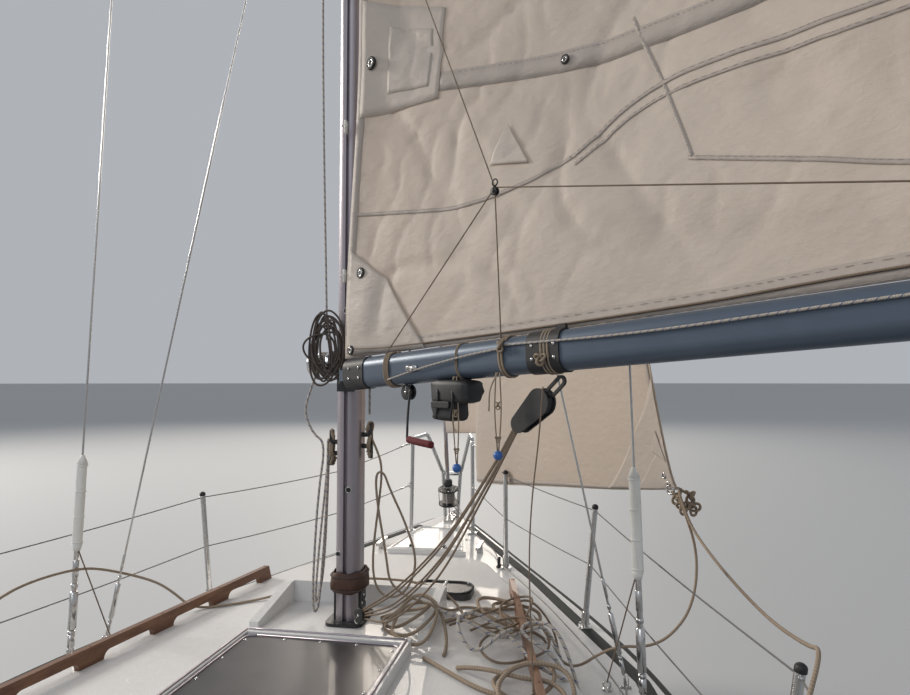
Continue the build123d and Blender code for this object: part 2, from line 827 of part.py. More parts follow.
boom_heading = Vector(-cos(radians(boom_angle)), -sin(radians(boom_angle)), 0)
boom_dir = boom_heading * cos(radians(boom_rise)) + Vector(0, 0, sin(radians(boom_rise)))
boom_origin = Vector(luff_x, 0, gooseneck_z)
boom_side = Vector(0, 0, 1).cross(boom_dir)
boom_start = 62


def boom_plane(distance):
    """Plane across the boom, x to its starboard side when it lies aft and y up."""
    return Plane(origin=boom_origin + boom_dir * distance, x_dir=boom_side * -1, z_dir=boom_dir)


# Boom: an oval tube with a tongue that turns on the gooseneck's pin
with BuildPart() as boom:
    with BuildSketch(boom_plane(boom_start)):
        RectangleRounded(boom_breadth, boom_height, boom_breadth / 2 - 1)
    extrude(amount=boom_length - boom_start)
    with BuildSketch(Plane.XY.offset(gooseneck_z - ear_gap / 2 + 1)):
        with Locations(Location((luff_x, 0), 180 + boom_angle)):
            with Locations((boom_start / 2 + 2, 0)):
                Rectangle(boom_start + 4, 24)
            Circle(12)
            Circle(6.2, mode=Mode.SUBTRACT)
    extrude(amount=ear_gap - 2)
finished("boom", boom.part)


def sail_face(luff, leech, leeward, camber, thickness):
    """Thin crescent from luff to leech that bellies to leeward."""
    chord = Vector(*leech) - Vector(*luff)
    plane = Plane(origin=luff, x_dir=chord, z_dir=chord.cross(Vector(*leeward)))
    length = chord.length
    belly = camber * length
    with BuildSketch(plane) as section:
        with BuildLine():
            ThreePointArc((0, 0), (0.45 * length, belly), (length, 0))
            ThreePointArc((0, thickness), (0.45 * length, belly + thickness), (length, thickness))
            Line((0, 0), (0, thickness))
            Line((length, 0), (length, thickness))
        make_face()
    return section.sketch


# Mainsail sections: height at the luff, chord, twist, camber, rise of the chord
MAINSAIL = [
    (mainsail_tack_z, 2600, 0, 0.015, boom_rise),
    (2900, 2360, 1.5, 0.06, 3.3),
    (3800, 2110, 3, 0.085, 3),
    (5800, 1420, 6, 0.085, 1),
    (7600, 730, 8, 0.07, 0),
    (mainsail_head_z, 120, 9, 0.03, 0),
]
with BuildPart() as mainsail:
    faces = []
    for height, chord, twist, camber, rise in MAINSAIL:
        angle = radians(boom_angle + twist)
        heading = Vector(-cos(angle), -sin(angle), 0)
        luff = Vector(luff_x, 0, height) + heading * 14
        leech = luff + heading * chord * cos(radians(rise)) + Vector(0, 0, chord * sin(radians(rise)))
        faces.append(sail_face(luff, leech, (sin(angle), -cos(angle), 0), camber, sail_thickness))
    loft(faces, ruled=True)
finished("mainsail", mainsail.part)

# Jib sections: height at the luff, share of the way up the leech, camber
JIB = [
    (jib_tack_z, 0, 0.10),
    (3200, 0.235, 0.13),
    (5200, 0.525, 0.12),
    (7000, 0.785, 0.09),
    (jib_head_z, 0.99, 0.03),
]
with BuildPart() as jib:
    faces = []
    for height, share, camber in JIB:
        stay = on_forestay(height)
        leech = Vector(*jib_clew) + (on_forestay(jib_head_z) - Vector(*jib_clew)) * share
        heading = (leech - stay).normalized()
        luff = stay + Vector(heading.X, heading.Y, 0).normalized() * (foil_radius + jib_luff_gap)
        faces.append(sail_face(luff, leech, (-heading.Y, heading.X, 0), camber, sail_thickness))
    loft(faces, ruled=True)
finished("jib", jib.part)


def on_deck(x, y, rise=0):
    """Point over the deck, at a rise above it."""
    return (x, y, deck_z(x, y) + rise)


def foot_plates(places):
    """Plates bedded on the deck at the places, for the builder that is open."""
    for x, y in places:
        low = deck_z(x, y) - foot_sink
        block(
            (x - foot_plate[0] / 2, y - foot_plate[1] / 2, low),
            (x + foot_plate[0] / 2, y + foot_plate[1] / 2, deck_z(x, y) + foot_plate[2]),
        )
    add(envelope.part, mode=Mode.SUBTRACT)


# Pulpit: one tube that dips at the bow, on four legs
pulpit_legs = (1800, 205)
pulpit_fore = (2040, 150)
pulpit_dip = (2165, 62)
pulpit_dip_rise = 300
pulpit_foot_y = 42
plate_top = foot_plate[2] - 1
with BuildPart() as pulpit:
    foot_plates([(pulpit_legs[0], side * pulpit_legs[1]) for _, side in SIDES])
    half = [
        on_deck(*pulpit_legs, plate_top),
        on_deck(pulpit_legs[0] + 20, pulpit_legs[1] - 5, pulpit_height),
        on_deck(*pulpit_fore, pulpit_height),
        on_deck(*pulpit_dip, pulpit_dip_rise),
    ]
    bent_tube(half + [(x, -y, z) for x, y, z in reversed(half)], 45, tube_radius_rail)
    for _, side in SIDES:
        rod(
            on_deck(pulpit_dip[0] - 20, side * pulpit_foot_y, -foot_sink),
            on_deck(pulpit_dip[0] - 8, side * pulpit_dip[1], pulpit_dip_rise + 8),
            tube_radius_rail,
        )
    add(envelope.part, mode=Mode.SUBTRACT)
finished("pulpit", pulpit.part)

# Pushpit: a bent tube round each quarter with a lower rail, open at the rudder
pushpit_fore = (-3650, 1085)
pushpit_middle = (-4250, 943)
pushpit_corner = (-4560, 870)
pushpit_inner = (-4560, 330)
pushpit_bend = 80
lower_rail_radius = 10
with BuildPart() as pushpit:
    places = (pushpit_fore, pushpit_middle, pushpit_inner)
    foot_plates([(x, side * y) for x, y in places for _, side in SIDES])
    for _, side in SIDES:
        fore, middle, corner, inner = (
            (x, side * y) for x, y in (pushpit_fore, pushpit_middle, pushpit_corner, pushpit_inner)
        )
        rails = [
            (on_deck(*fore, rise), on_deck(*corner, rise), (*inner, deck_z(*corner) + rise))
            for rise in (pushpit_height, pushpit_height / 2)
        ]
        hoop = (on_deck(*fore, plate_top), *rails[0], on_deck(*inner, plate_top))
        bent_tube(hoop, pushpit_bend, tube_radius_rail)
        bent_tube(rails[1], pushpit_bend, lower_rail_radius)
        rod(on_deck(*middle, plate_top), on_deck(*middle, pushpit_height - 5), lower_rail_radius)
finished("pushpit", pushpit.part)

# Stanchions, each in a socket on a base plate and leaning outboard
for name, side in SIDES:
    with BuildPart() as stanchions:
        foot_plates([(x, side * y) for x, y, _ in STANCHIONS])
        for x, y, lean in STANCHIONS:
            base = Vector(*on_deck(x, side * y, plate_top))
            top = Vector(*on_deck(x, side * y, stanchion_height)) + Vector(0, side * lean, 0)
            rod(base, base + (top - base).normalized() * socket_height, tube_radius_rail + 4)
            rod(base, top, tube_radius_rail)
    finished(f"stanchions_{name}", stanchions.part)

# Teak handrails on the coachroof, each a bar on feet
with BuildPart() as handrails:
    for _, side in SIDES:
        start = Vector(handrail_from[0], side * handrail_from[1], roof_surface_z(handrail_from[1]))
        end = Vector(handrail_to[0], side * handrail_to[1], roof_surface_z(handrail_to[1]))
        run = end - start
        foot = start - Vector(0, 0, handrail_sink)
        with BuildSketch(Plane(origin=foot, x_dir=run, z_dir=run.cross(Vector(0, 0, 1)))):
            length = run.length
            top = handrail_sink + handrail_rise + handrail_bar[0]
            Polygon((0, 0), (length, 0), (length - handrail_slope, top), (handrail_slope, top), align=None)
            pitch = (length - handrail_foot_length) / (handrail_feet - 1)
            gap = pitch - handrail_foot_length
            gap_height = 2 * (handrail_rise + handrail_sink) - 8
            for index in range(handrail_feet - 1):
                with Locations((handrail_foot_length + pitch * index + gap / 2, 0)):
                    RectangleRounded(gap, gap_height, 28, mode=Mode.SUBTRACT)
        extrude(amount=handrail_bar[1] / 2, both=True)
    add(roof_outside.part, mode=Mode.SUBTRACT)
finished("handrails", handrails.part)

# Companion hatch and the rails that it slides in
hatch_z = roof_z + 12
with BuildPart() as companion_hatch:
    with BuildSketch(Plane.XY.offset(hatch_z)):
        with Locations((hatch_front_x - hatch_length / 2, 0)):
            RectangleRounded(hatch_length, hatch_width, 40)
    extrude(amount=hatch_thickness)
finished("companion_hatch", companion_hatch.part)

with BuildPart() as hatch_rails:
    for _, side in SIDES:
        inner = hatch_width / 2 + running_gap
        low_y, high_y = sorted((side * (inner - rail_width), side * (inner + rail_width)))
        block((roof_aft_x, low_y, roof_z - 40), (hatch_front_x + 40, high_y, hatch_z - running_gap))
        low_y, high_y = sorted((side * inner, side * (inner + rail_width)))
        block((roof_aft_x, low_y, roof_z), (hatch_front_x + 40, high_y, hatch_z + hatch_thickness + 10))
    block(
        (hatch_front_x + running_gap, -hatch_width / 2 - running_gap, roof_z - 20),
        (hatch_front_x + 40, hatch_width / 2 + running_gap, hatch_z + hatch_thickness + 10),
    )
    add(roof_outside.part, mode=Mode.SUBTRACT)
finished("hatch_rails", hatch_rails.part)


def winch_profile(radius, height, flange):
    """Half section of a winch drum, waisted, with a flange and a socket on top."""
    return [
        (9, 0),
        (radius, 0),
        (radius, 0.12 * height),
        (0.82 * radius, 0.3 * height),
        (0.78 * radius, 0.6 * height),
        (flange, 0.85 * height),
        (flange, height),
        (9, height),
    ]


# Sheet winches: a base in each coaming's top and a drum that turns on it
winch_y = coaming_half[0] - coaming_width / 2 - 45
winch_seat_z = coaming_top[1] + 20
winch_base_top = coaming_top[0] + 25
with BuildPart() as winch_bases:
    for _, side in SIDES:
        with BuildSketch(Plane.XY.offset(winch_seat_z)):
            with Locations((winch_x, side * winch_y)):
                Circle(winch_base_radius)
        extrude(amount=winch_base_top - winch_seat_z)
    add(cockpit.part, mode=Mode.SUBTRACT)
finished("winch_bases", winch_bases.part)

for name, side in SIDES:
    with BuildPart() as winch:
        foot = (winch_x, side * winch_y, winch_base_top + winch_gap)
        with BuildSketch(Plane(origin=foot, x_dir=(1, 0, 0), z_dir=(0, -1, 0))):
            with BuildLine():
                Polyline(*winch_profile(44, 92, 37), close=True)
            make_face()
        revolve(axis=Axis((winch_x, side * winch_y, 0), (0, 0, 1)))
    finished(f"winch_{name}", winch.part)

# Halyard winch on the mast's port side: base, then a drum that turns
mast_winch_at = (0, mast_breadth / 2 + 0.3, 2000)
mast_winch_plane = Plane(origin=mast_winch_at, x_dir=(1, 0, 0), z_dir=(0, 1, 0))
with BuildPart() as mast_winch_base:
    with BuildSketch(mast_winch_plane):
        Circle(50)
    extrude(amount=mast_winch_base_length)
finished("mast_winch_base", mast_winch_base.part)

with BuildPart() as mast_winch:
    foot = (0, mast_winch_at[1] + mast_winch_base_length + winch_gap, mast_winch_at[2])
    with BuildSketch(Plane(origin=foot, x_dir=(1, 0, 0), z_dir=(0, 0, 1))):
        with BuildLine():
            Polyline(*winch_profile(46, 88, 44), close=True)
        make_face()
    revolve(axis=Axis((0, 0, mast_winch_at[2]), (0, 1, 0)))
finished("mast_winch", mast_winch.part)

# Horn cleats: x, y, z of the foot, and the side that the horns stand out to
with BuildPart() as mast_cleats:
    for side, height in ((1, 1670), (-1, 1700)):
        y_in = side * (mast_breadth / 2 + 0.3)
        with BuildSketch(Plane(origin=(0, y_in, height), x_dir=(0, 0, 1), z_dir=(0, side, 0))):
            with Locations((-22, 0), (22, 0)):
                Circle(9)
        extrude(amount=26)
        with BuildSketch(Plane(origin=(0, y_in + side * 24, height), x_dir=(0, 0, 1), z_dir=(0, side, 0))):
            SlotOverall(140, 20)
        extrude(amount=14)
finished("mast_cleats", mast_cleats.part)

# Mooring cleats on the foredeck and the quarters
mooring_cleats_at = [(1450, 300), (-4350, 800)]
with BuildPart() as mooring_cleats:
    for x, y in mooring_cleats_at:
        for _, side in SIDES:
            base = on_deck(x, side * y)
            with BuildSketch(Plane.XY.offset(base[2] - 20)):
                with Locations((x - 30, side * y), (x + 30, side * y)):
                    Circle(13)
            extrude(amount=20 + 32)
            with BuildSketch(Plane.XY.offset(base[2] + 28)):
                with Locations((x, side * y)):
                    SlotOverall(190, 24)
            extrude(amount=16)
    add(envelope.part, mode=Mode.SUBTRACT)
finished("mooring_cleats", mooring_cleats.part)

# Genoa tracks on the side decks, each with its lead block's car
track_x = (-1750, -650)
track_y = 1075
track = (sum(track_x) / 2, track_x[1] - track_x[0], 30, 14)
lead_car = (-1100, 90, 44, 48)
with BuildPart() as genoa_tracks:
    for _, side in SIDES:
        for x, length, width, rise in (track, lead_car):
            with BuildSketch(Plane.XY.offset(deck_z(x, track_y) - 40)):
                with Locations((x, side * track_y)):
                    Rectangle(length, width)
            extrude(amount=40 + rise)
    add(envelope.part, mode=Mode.SUBTRACT)
finished("genoa_tracks", genoa_tracks.part)

# Vang: a fiddle block on a long link under the boom, in line with the mast's foot
vang_at = 1030
vang_lug = 16
vang_top_radius = 38
vang_low_radius = 26
vang_spacing = 100
cheek_gap = 22
cheek = 6
boom_up = boom_dir.cross(boom_side)
vang_hook = boom_origin + boom_dir * vang_at - boom_up * (boom_height / 2 + vang_lug)
vang_dir = (Vector(0, 0, mast_foot_z + 40) - vang_hook).normalized()
vang_plane = Plane(origin=vang_hook, x_dir=vang_dir, z_dir=vang_dir.cross(Vector(0, 0, 1)))
vang_link = (78, 32, 8)
top_sheave = vang_link[0] + vang_top_radius - 8
with BuildPart() as vang:
    with BuildSketch(vang_plane) as link:
        with Locations((vang_link[0] / 2 + running_gap, 0)):
            SlotOverall(vang_link[0], vang_link[1])
            SlotOverall(vang_link[0] - 2 * vang_link[2], vang_link[1] - 2 * vang_link[2], mode=Mode.SUBTRACT)
    extrude(amount=vang_link[2] / 2, both=True)
    for sign in (1, -1):
        with BuildSketch(vang_plane.offset(sign * cheek_gap / 2)):
            with Locations((top_sheave, 0)):
                Circle(vang_top_radius)
            with Locations((top_sheave + vang_spacing, 0)):
                Circle(vang_low_radius)
            make_hull()
        extrude(amount=sign * cheek)
    with BuildSketch(vang_plane):
        with Locations((top_sheave, 0)):
            Circle(vang_top_radius - 5)
        with Locations((top_sheave + vang_spacing, 0)):
            Circle(vang_low_radius - 5)
    extrude(amount=cheek_gap / 2 + 1, both=True)
finished("vang", vang.part)

# Bands on the boom: inboard collar, vang band with its lug, and end cap
BANDS = [(boom_start, 120, 3), (vang_at - 95, 110, 4), (boom_length - 40, 60, 4)]
with BuildPart() as boom_fittings:
    for start, length, swell in BANDS:
        with BuildSketch(boom_plane(start)):
            RectangleRounded(boom_breadth + 2 * swell, boom_height + 2 * swell, boom_breadth / 2)
        extrude(amount=length)
    with BuildSketch(boom_plane(vang_at - 15)):
        with Locations((0, -(boom_height + vang_lug) / 2)):
            Rectangle(12, vang_lug)
    extrude(amount=30)
    add(boom.part, mode=Mode.SUBTRACT)
finished("boom_fittings", boom_fittings.part)
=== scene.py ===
"""Dresses the small sailing yacht: finishes, sails, running rigging and small fittings."""

import json
import math

import bpy
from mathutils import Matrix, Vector, geometry, noise
from mathutils.bvhtree import BVHTree

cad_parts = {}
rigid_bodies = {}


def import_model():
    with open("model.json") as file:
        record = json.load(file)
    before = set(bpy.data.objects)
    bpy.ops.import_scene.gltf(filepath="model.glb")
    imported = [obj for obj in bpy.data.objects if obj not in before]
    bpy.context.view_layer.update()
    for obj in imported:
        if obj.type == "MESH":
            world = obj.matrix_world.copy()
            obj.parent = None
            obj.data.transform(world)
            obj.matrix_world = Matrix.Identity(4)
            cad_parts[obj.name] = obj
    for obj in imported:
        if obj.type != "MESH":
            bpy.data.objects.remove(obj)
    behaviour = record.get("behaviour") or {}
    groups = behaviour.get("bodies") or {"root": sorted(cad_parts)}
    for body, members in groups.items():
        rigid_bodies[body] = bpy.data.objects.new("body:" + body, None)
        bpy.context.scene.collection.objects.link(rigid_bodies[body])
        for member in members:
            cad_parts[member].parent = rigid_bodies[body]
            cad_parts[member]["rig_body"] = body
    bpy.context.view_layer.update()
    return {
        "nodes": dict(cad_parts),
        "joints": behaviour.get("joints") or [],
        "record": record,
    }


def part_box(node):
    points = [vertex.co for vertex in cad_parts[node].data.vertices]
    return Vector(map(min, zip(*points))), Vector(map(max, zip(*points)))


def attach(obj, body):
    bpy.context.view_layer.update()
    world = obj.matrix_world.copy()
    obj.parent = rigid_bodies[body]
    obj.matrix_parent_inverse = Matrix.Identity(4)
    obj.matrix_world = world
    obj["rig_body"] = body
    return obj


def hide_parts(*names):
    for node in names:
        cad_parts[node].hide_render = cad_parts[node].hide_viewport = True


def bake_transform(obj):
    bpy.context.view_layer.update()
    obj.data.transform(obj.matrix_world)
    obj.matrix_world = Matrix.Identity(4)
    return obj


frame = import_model()

bl_info = {
    "name": "Small Sailing Yacht",
    "version": (1, 0, 0),
    "blender": (4, 5, 0),
    "location": "View3D > Sidebar > Yacht",
    "description": "Dresses the yacht with sails, lines, fittings and finishes",
    "category": "Object",
}

AHEAD = Vector((1, 0, 0))
PORT = Vector((0, 1, 0))
UP = Vector((0, 0, 1))
SIDES = (1, -1)
ROOT = "yacht"
BOOM = "boom_rig"
record_slots = {row["material_slot"] for row in frame["record"]["subparts"]}


# Frame of the boom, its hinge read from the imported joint
boom_hinge = Vector(next(row["pos_m"] for row in frame["joints"] if row["name"] == "boom_swing"))
boom_angle = math.radians(54)
boom_rise = math.radians(3.4)
boom_heading = Vector((-math.cos(boom_angle), -math.sin(boom_angle), 0))
boom_dir = boom_heading * math.cos(boom_rise) + UP * math.sin(boom_rise)
boom_port = Vector((boom_heading.y, -boom_heading.x, 0))
boom_up = boom_port.cross(boom_dir)
boom_height = 0.11
boom_breadth = 0.076


class Wire:
    """A socket in a material; arithmetic on it adds Math nodes."""

    def __init__(self, finish, socket):
        self.finish = finish
        self.socket = socket

    def maths(self, operation, *values):
        return self.finish.node("ShaderNodeMath", {"operation": operation}, dict(enumerate(values)))

    def __add__(self, other):
        return self.maths("ADD", self, other)

    def __radd__(self, other):
        return self.maths("ADD", other, self)

    def __sub__(self, other):
        return self.maths("SUBTRACT", self, other)

    def __rsub__(self, other):
        return self.maths("SUBTRACT", other, self)

    def __mul__(self, other):
        return self.maths("MULTIPLY", self, other)

    def __rmul__(self, other):
        return self.maths("MULTIPLY", other, self)

    def __gt__(self, other):
        return self.maths("GREATER_THAN", self, other)

    def __lt__(self, other):
        return self.maths("LESS_THAN", self, other)

    def sine(self):
        return self.maths("SINE", self)


class Finish:
    """A material under construction, with its Principled shader."""

    def __init__(self, name, colour, roughness, **constants):
        self.material = bpy.data.materials.new(name)
        self.material.use_nodes = True
        self.tree = self.material.node_tree
        self.shader = self.tree.nodes["Principled BSDF"]
        self.set("Base Color", (*colour, 1))
        self.set("Roughness", roughness)
        for key, value in constants.items():
            self.set(key.replace("_", " "), value)

    def set(self, socket, value):
        """Gives one of the shader's sockets a constant or a link."""
        self.feed(self.shader.inputs[socket], value)

    def feed(self, socket, value):
        if isinstance(value, Wire):
            self.tree.links.new(value.socket, socket)
        else:
            socket.default_value = value

    def node(self, kind, settings=None, sockets=None, output=0):
        """Adds a node of a type with its settings, then its sockets' values or links."""
        made = self.tree.nodes.new(kind)
        for key, value in (settings or {}).items():
            if key == "stops":
                ramp = made.color_ramp
                while len(ramp.elements) < len(value):
                    ramp.elements.new(0.5)
                for element, (position, colour) in zip(ramp.elements, value):
                    element.position = position
                    element.color = colour
            else:
                setattr(made, key, value)
        for key, value in (sockets or {}).items():
            self.feed(made.inputs[key], value)
        return Wire(self, made.outputs[output])

    def place(self, scale=(1, 1, 1), turn=(0, 0, 0)):
        """Object coordinates, stretched and turned."""
        coordinates = self.node("ShaderNodeTexCoord", output="Object")
        return self.node("ShaderNodeMapping", {}, {"Vector": coordinates, "Scale": scale, "Rotation": turn})

    def along(self, axis):
        """One object coordinate, in metres."""
        coordinates = self.node("ShaderNodeTexCoord", output="Object")
        return self.node("ShaderNodeSeparateXYZ", {}, {0: coordinates}, output="XYZ".index(axis))

    def facing_up(self):
        """1 on level tops, falling to 0 on walls."""
        normal = self.node("ShaderNodeNewGeometry", output="Normal")
        height = self.node("ShaderNodeSeparateXYZ", {}, {0: normal}, output=2)
        return self.node("ShaderNodeMapRange", {}, {0: height, 1: 0.9, 2: 0.97})

    def cloud(self, scale, detail=3, place=None, roughness=0.55):
        """Soft noise from 0 to 1."""
        return self.node(
            "ShaderNodeTexNoise",
            {},
            {"Vector": place or self.place(), "Scale": scale, "Detail": detail, "Roughness": roughness},
        )

    def ramp(self, value, *stops):
        """Colour or grey ramp over a value."""
        full = [(position, (*(c if hasattr(c, "__len__") else (c, c, c)), 1)) for position, c in stops]
        return self.node("ShaderNodeValToRGB", {"stops": full}, {0: value})

    def blend(self, mask, low, high, mode="MIX"):
        """Colour from low to high by a mask."""
        low = low if isinstance(low, Wire) else (*low, 1)
        high = high if isinstance(high, Wire) else (*high, 1)
        return self.node(
            "ShaderNodeMix", {"data_type": "RGBA", "blend_type": mode}, {0: mask, 6: low, 7: high}, output=2
        )

    def bump(self, height, distance, strength=1.0):
        """Relief from a height, into the shader's normal."""
        relief = self.node("ShaderNodeBump", {}, {"Height": height, "Distance": distance, "Strength": strength})
        self.set("Normal", relief)


finishes = {}


def finish(name, colour, roughness, **constants):
    """Starts a finish and keeps it under its name."""
    made = Finish(name, colour, roughness, **constants)
    finishes[name] = made
    return made


def paint_gelcoat():
    """White gelcoat: smooth walls, fine nonskid on the level tops, which are painted a darker grey as shade, faint
    grime.
    """
    f = finish("gelcoat", (0.83, 0.83, 0.81), 0.3, Coat_Weight=0.2)
    grime = f.cloud(2.2, 5)
    fine = f.cloud(38, 3)
    top = f.facing_up()
    white = f.blend(grime, (0.78, 0.775, 0.76), (0.62, 0.615, 0.60))
    # Level tops blend to this darker grey: painted shade on the deck and coachroof tops; the nonskid itself is only the
    # relief further down.
    grey = f.blend(fine, (0.62, 0.615, 0.61), (0.52, 0.515, 0.505))
    f.set("Base Color", f.blend(top * 0.75, white, grey))
    f.set("Roughness", 0.25 + top * 0.3 + fine * 0.1)
    grip = f.node("ShaderNodeTexVoronoi", {}, {"Vector": f.place(), "Scale": 260.0})
    f.bump(grip * top + fine * 0.2, 0.0012)


def paint_hull():
    """Topsides, a boot stripe above the waterline, and dark bottom paint."""
    f = finish("hull_gelcoat", (0.84, 0.84, 0.82), 0.2, Coat_Weight=0.4)
    height = f.along("Z")
    wavy = height + (f.cloud(1.5, 2) - 0.5) * 0.004
    haze = f.cloud(1.2, 5)
    white = f.blend(haze, (0.86, 0.86, 0.84), (0.77, 0.77, 0.75))
    stripe = (wavy > 0.075) * (wavy < 0.115)
    painted = f.blend(wavy < 0.03, white, f.blend(haze, (0.035, 0.055, 0.10), (0.06, 0.085, 0.13)))
    f.set("Base Color", f.blend(stripe, painted, (0.03, 0.05, 0.12)))
    f.set("Roughness", 0.2 + (wavy < 0.03) * 0.45)
    f.bump(f.cloud(5, 2), 0.002, 0.25)


def paint_wood():
    """Teak with grain along X, silvering on top."""
    f = finish("teak", (0.36, 0.2, 0.11), 0.5, Coat_Weight=0.12)
    grain = f.cloud(30, 5, f.place((0.12, 1.6, 1.6)))
    fibre = f.cloud(140, 3, f.place((0.06, 2, 2)))
    tone = f.ramp(grain, (0.3, (0.11, 0.045, 0.022)), (0.55, (0.20, 0.088, 0.042)), (0.75, (0.27, 0.135, 0.07)))
    worn = f.blend(f.facing_up() * f.cloud(5, 3) * 0.5, tone, (0.30, 0.20, 0.14))
    f.set("Base Color", f.blend(fibre * 0.4, worn, (0.08, 0.035, 0.02)))
    f.set("Roughness", 0.38 + fibre * 0.25)
    f.bump(grain * 0.4 + fibre, 0.0008)


def paint_metals():
    """Anodised mast, slate boom, stainless steel and chromed drums."""
    f = finish("mast_alloy", (0.40, 0.37, 0.39), 0.42, Metallic=0.85)
    streak = f.cloud(60, 4, f.place((1, 1, 0.02)))
    blotch = f.cloud(6, 4)
    f.set("Base Color", f.blend(streak * 0.6 + blotch * 0.3, (0.46, 0.42, 0.45), (0.26, 0.235, 0.26)))
    f.set("Roughness", 0.3 + streak * 0.22)
    f.bump(streak, 0.0004, 0.6)

    f = finish("boom_alloy", (0.085, 0.115, 0.155), 0.38, Metallic=0.35)
    blotch = f.cloud(9, 5)
    scratch = f.cloud(120, 3, f.place((1, 1, 6), (0, 0, boom_angle)))
    f.set("Base Color", f.blend(blotch * 0.7, (0.092, 0.122, 0.165), (0.055, 0.075, 0.105)))
    f.set("Roughness", 0.3 + scratch * 0.2)
    f.bump(scratch, 0.0002, 0.5)

    for name, light, dark, rough in (
        ("steel", (0.66, 0.66, 0.66), (0.44, 0.43, 0.41), 0.16),
        ("chrome", (0.80, 0.80, 0.81), (0.55, 0.55, 0.56), 0.08),
    ):
        f = finish(name, light, rough, Metallic=1.0)
        smear = f.cloud(45, 4)
        f.set("Base Color", f.blend(smear, light, dark))
        f.set("Roughness", rough + smear * 0.18)
        f.bump(f.cloud(220, 2), 0.0001, 0.3)


def paint_plastics():
    """Black nylon and alloy, rubber strake, white sleeves and smoked panes."""
    for name, light, dark, rough, grain in (
        ("black_plastic", (0.018, 0.018, 0.019), (0.007, 0.007, 0.008), 0.45, 300),
        ("black_alloy", (0.024, 0.024, 0.026), (0.010, 0.010, 0.011), 0.42, 420),
        ("strake_rubber", (0.016, 0.020, 0.019), (0.007, 0.010, 0.009), 0.7, 180),
        ("white_plastic", (0.80, 0.80, 0.77), (0.64, 0.63, 0.58), 0.4, 120),
        ("blue_plastic", (0.03, 0.13, 0.42), (0.02, 0.09, 0.30), 0.28, 150),
        ("leather_brown", (0.10, 0.045, 0.028), (0.04, 0.018, 0.012), 0.6, 260),
        ("webbing_red", (0.16, 0.012, 0.016), (0.08, 0.008, 0.010), 0.7, 380),
        ("rail_bung", (0.24, 0.12, 0.06), (0.14, 0.07, 0.035), 0.5, 200),
    ):
        f = finish(name, light, rough)
        wear = f.cloud(14, 4)
        fine = f.cloud(grain, 2)
        f.set("Base Color", f.blend(wear, light, dark))
        f.set("Roughness", rough + fine * 0.2)
        f.bump(fine, 0.0003, 0.6)
    for name, colour, alpha in (
        ("smoked_acrylic", (0.035, 0.03, 0.032), 0.88),
        ("tinted_acrylic", (0.03, 0.03, 0.034), 0.9),
    ):
        f = finish(name, colour, 0.25, Coat_Weight=0.1)
        dust = f.cloud(9, 5)
        f.set("Base Color", f.blend(dust * 0.3, colour, (0.08, 0.075, 0.07)))
        f.set("Roughness", 0.25 + dust * 0.25)
        f.set("Alpha", alpha + dust * 0.08)
        f.bump(f.cloud(260, 2), 0.0001, 0.3)
    f = finish("keel_paint", (0.035, 0.055, 0.10), 0.6)
    f.set("Base Color", f.blend(f.cloud(6, 5), (0.035, 0.055, 0.10), (0.06, 0.085, 0.13)))
    f.bump(f.cloud(60, 4), 0.001, 0.5)


def paint_cloth():
    """Cream sailcloth that lets light through, and its doubled patches."""
    for name, light, dark, through in (
        ("sailcloth", (0.74, 0.67, 0.60), (0.62, 0.55, 0.49), 0.40),
        ("sail_patch", (0.69, 0.62, 0.55), (0.57, 0.505, 0.45), 0.28),
        ("sail_seam", (0.53, 0.465, 0.41), (0.43, 0.375, 0.335), 0.22),
    ):
        f = finish(name, light, 0.55, Sheen_Weight=0.15)
        blotch = f.cloud(2.5, 5)
        crinkle = f.cloud(22, 6, f.place((1, 1, 1.7), (0.5, 0.3, 0)))
        warp = f.node("ShaderNodeTexWave", {"bands_direction": "Z"}, {"Vector": f.place(), "Scale": 160.0})
        weft = f.node("ShaderNodeTexWave", {"bands_direction": "Y"}, {"Vector": f.place(), "Scale": 160.0})
        f.set("Base Color", f.blend(blotch * 0.7 + crinkle * 0.3, light, dark))
        f.bump(crinkle * 0.8 + (warp + weft) * 0.02, 0.010, 0.55)
        glow = f.node("ShaderNodeBsdfTranslucent", {}, {"Color": (light[0], light[1] * 0.93, light[2] * 0.82, 1)})
        both = f.node("ShaderNodeMixShader", {}, {0: through, 1: Wire(f, f.shader.outputs[0]), 2: glow})
        f.tree.links.new(both.socket, f.tree.nodes["Material Output"].inputs["Surface"])


def paint_ropes():
    """Braided lines, darker between the strands as painted shade in the braid's grooves, with a fleck along them for
    some.
    """
    for name, light, dark, fleck in (
        ("rope_cream", (0.42, 0.33, 0.24), (0.20, 0.15, 0.105), None),
        ("rope_fleck", (0.60, 0.55, 0.48), (0.33, 0.29, 0.25), (0.05, 0.09, 0.22)),
        ("rope_brown", (0.30, 0.22, 0.15), (0.14, 0.10, 0.07), None),
        ("rope_dark", (0.13, 0.10, 0.085), (0.05, 0.04, 0.035), None),
        ("wire_steel", (0.30, 0.29, 0.28), (0.12, 0.11, 0.11), None),
    ):
        f = finish(name, light, 0.75)
        thread = f.node("ShaderNodeUVMap")
        turn = f.node("ShaderNodeSeparateXYZ", {}, {0: thread})
        length = f.node("ShaderNodeSeparateXYZ", {}, {0: thread}, output=1)
        one = ((turn * 6.0 + length) * math.tau).sine()
        other = ((turn * 6.0 - length) * math.tau).sine()
        braid = one * other * 0.5 + 0.5
        # Dark where the braid's relief is low: painted shade in the grooves between the strands.
        colour = f.blend(braid, dark, light)
        if fleck:
            mark = ((turn + length * 0.5) * math.tau).sine() > 0.86
            colour = f.blend(mark, colour, fleck)
        f.set("Base Color", f.blend(f.cloud(18, 3) * 0.5, colour, dark))
        f.bump(braid, 0.001, 0.8)


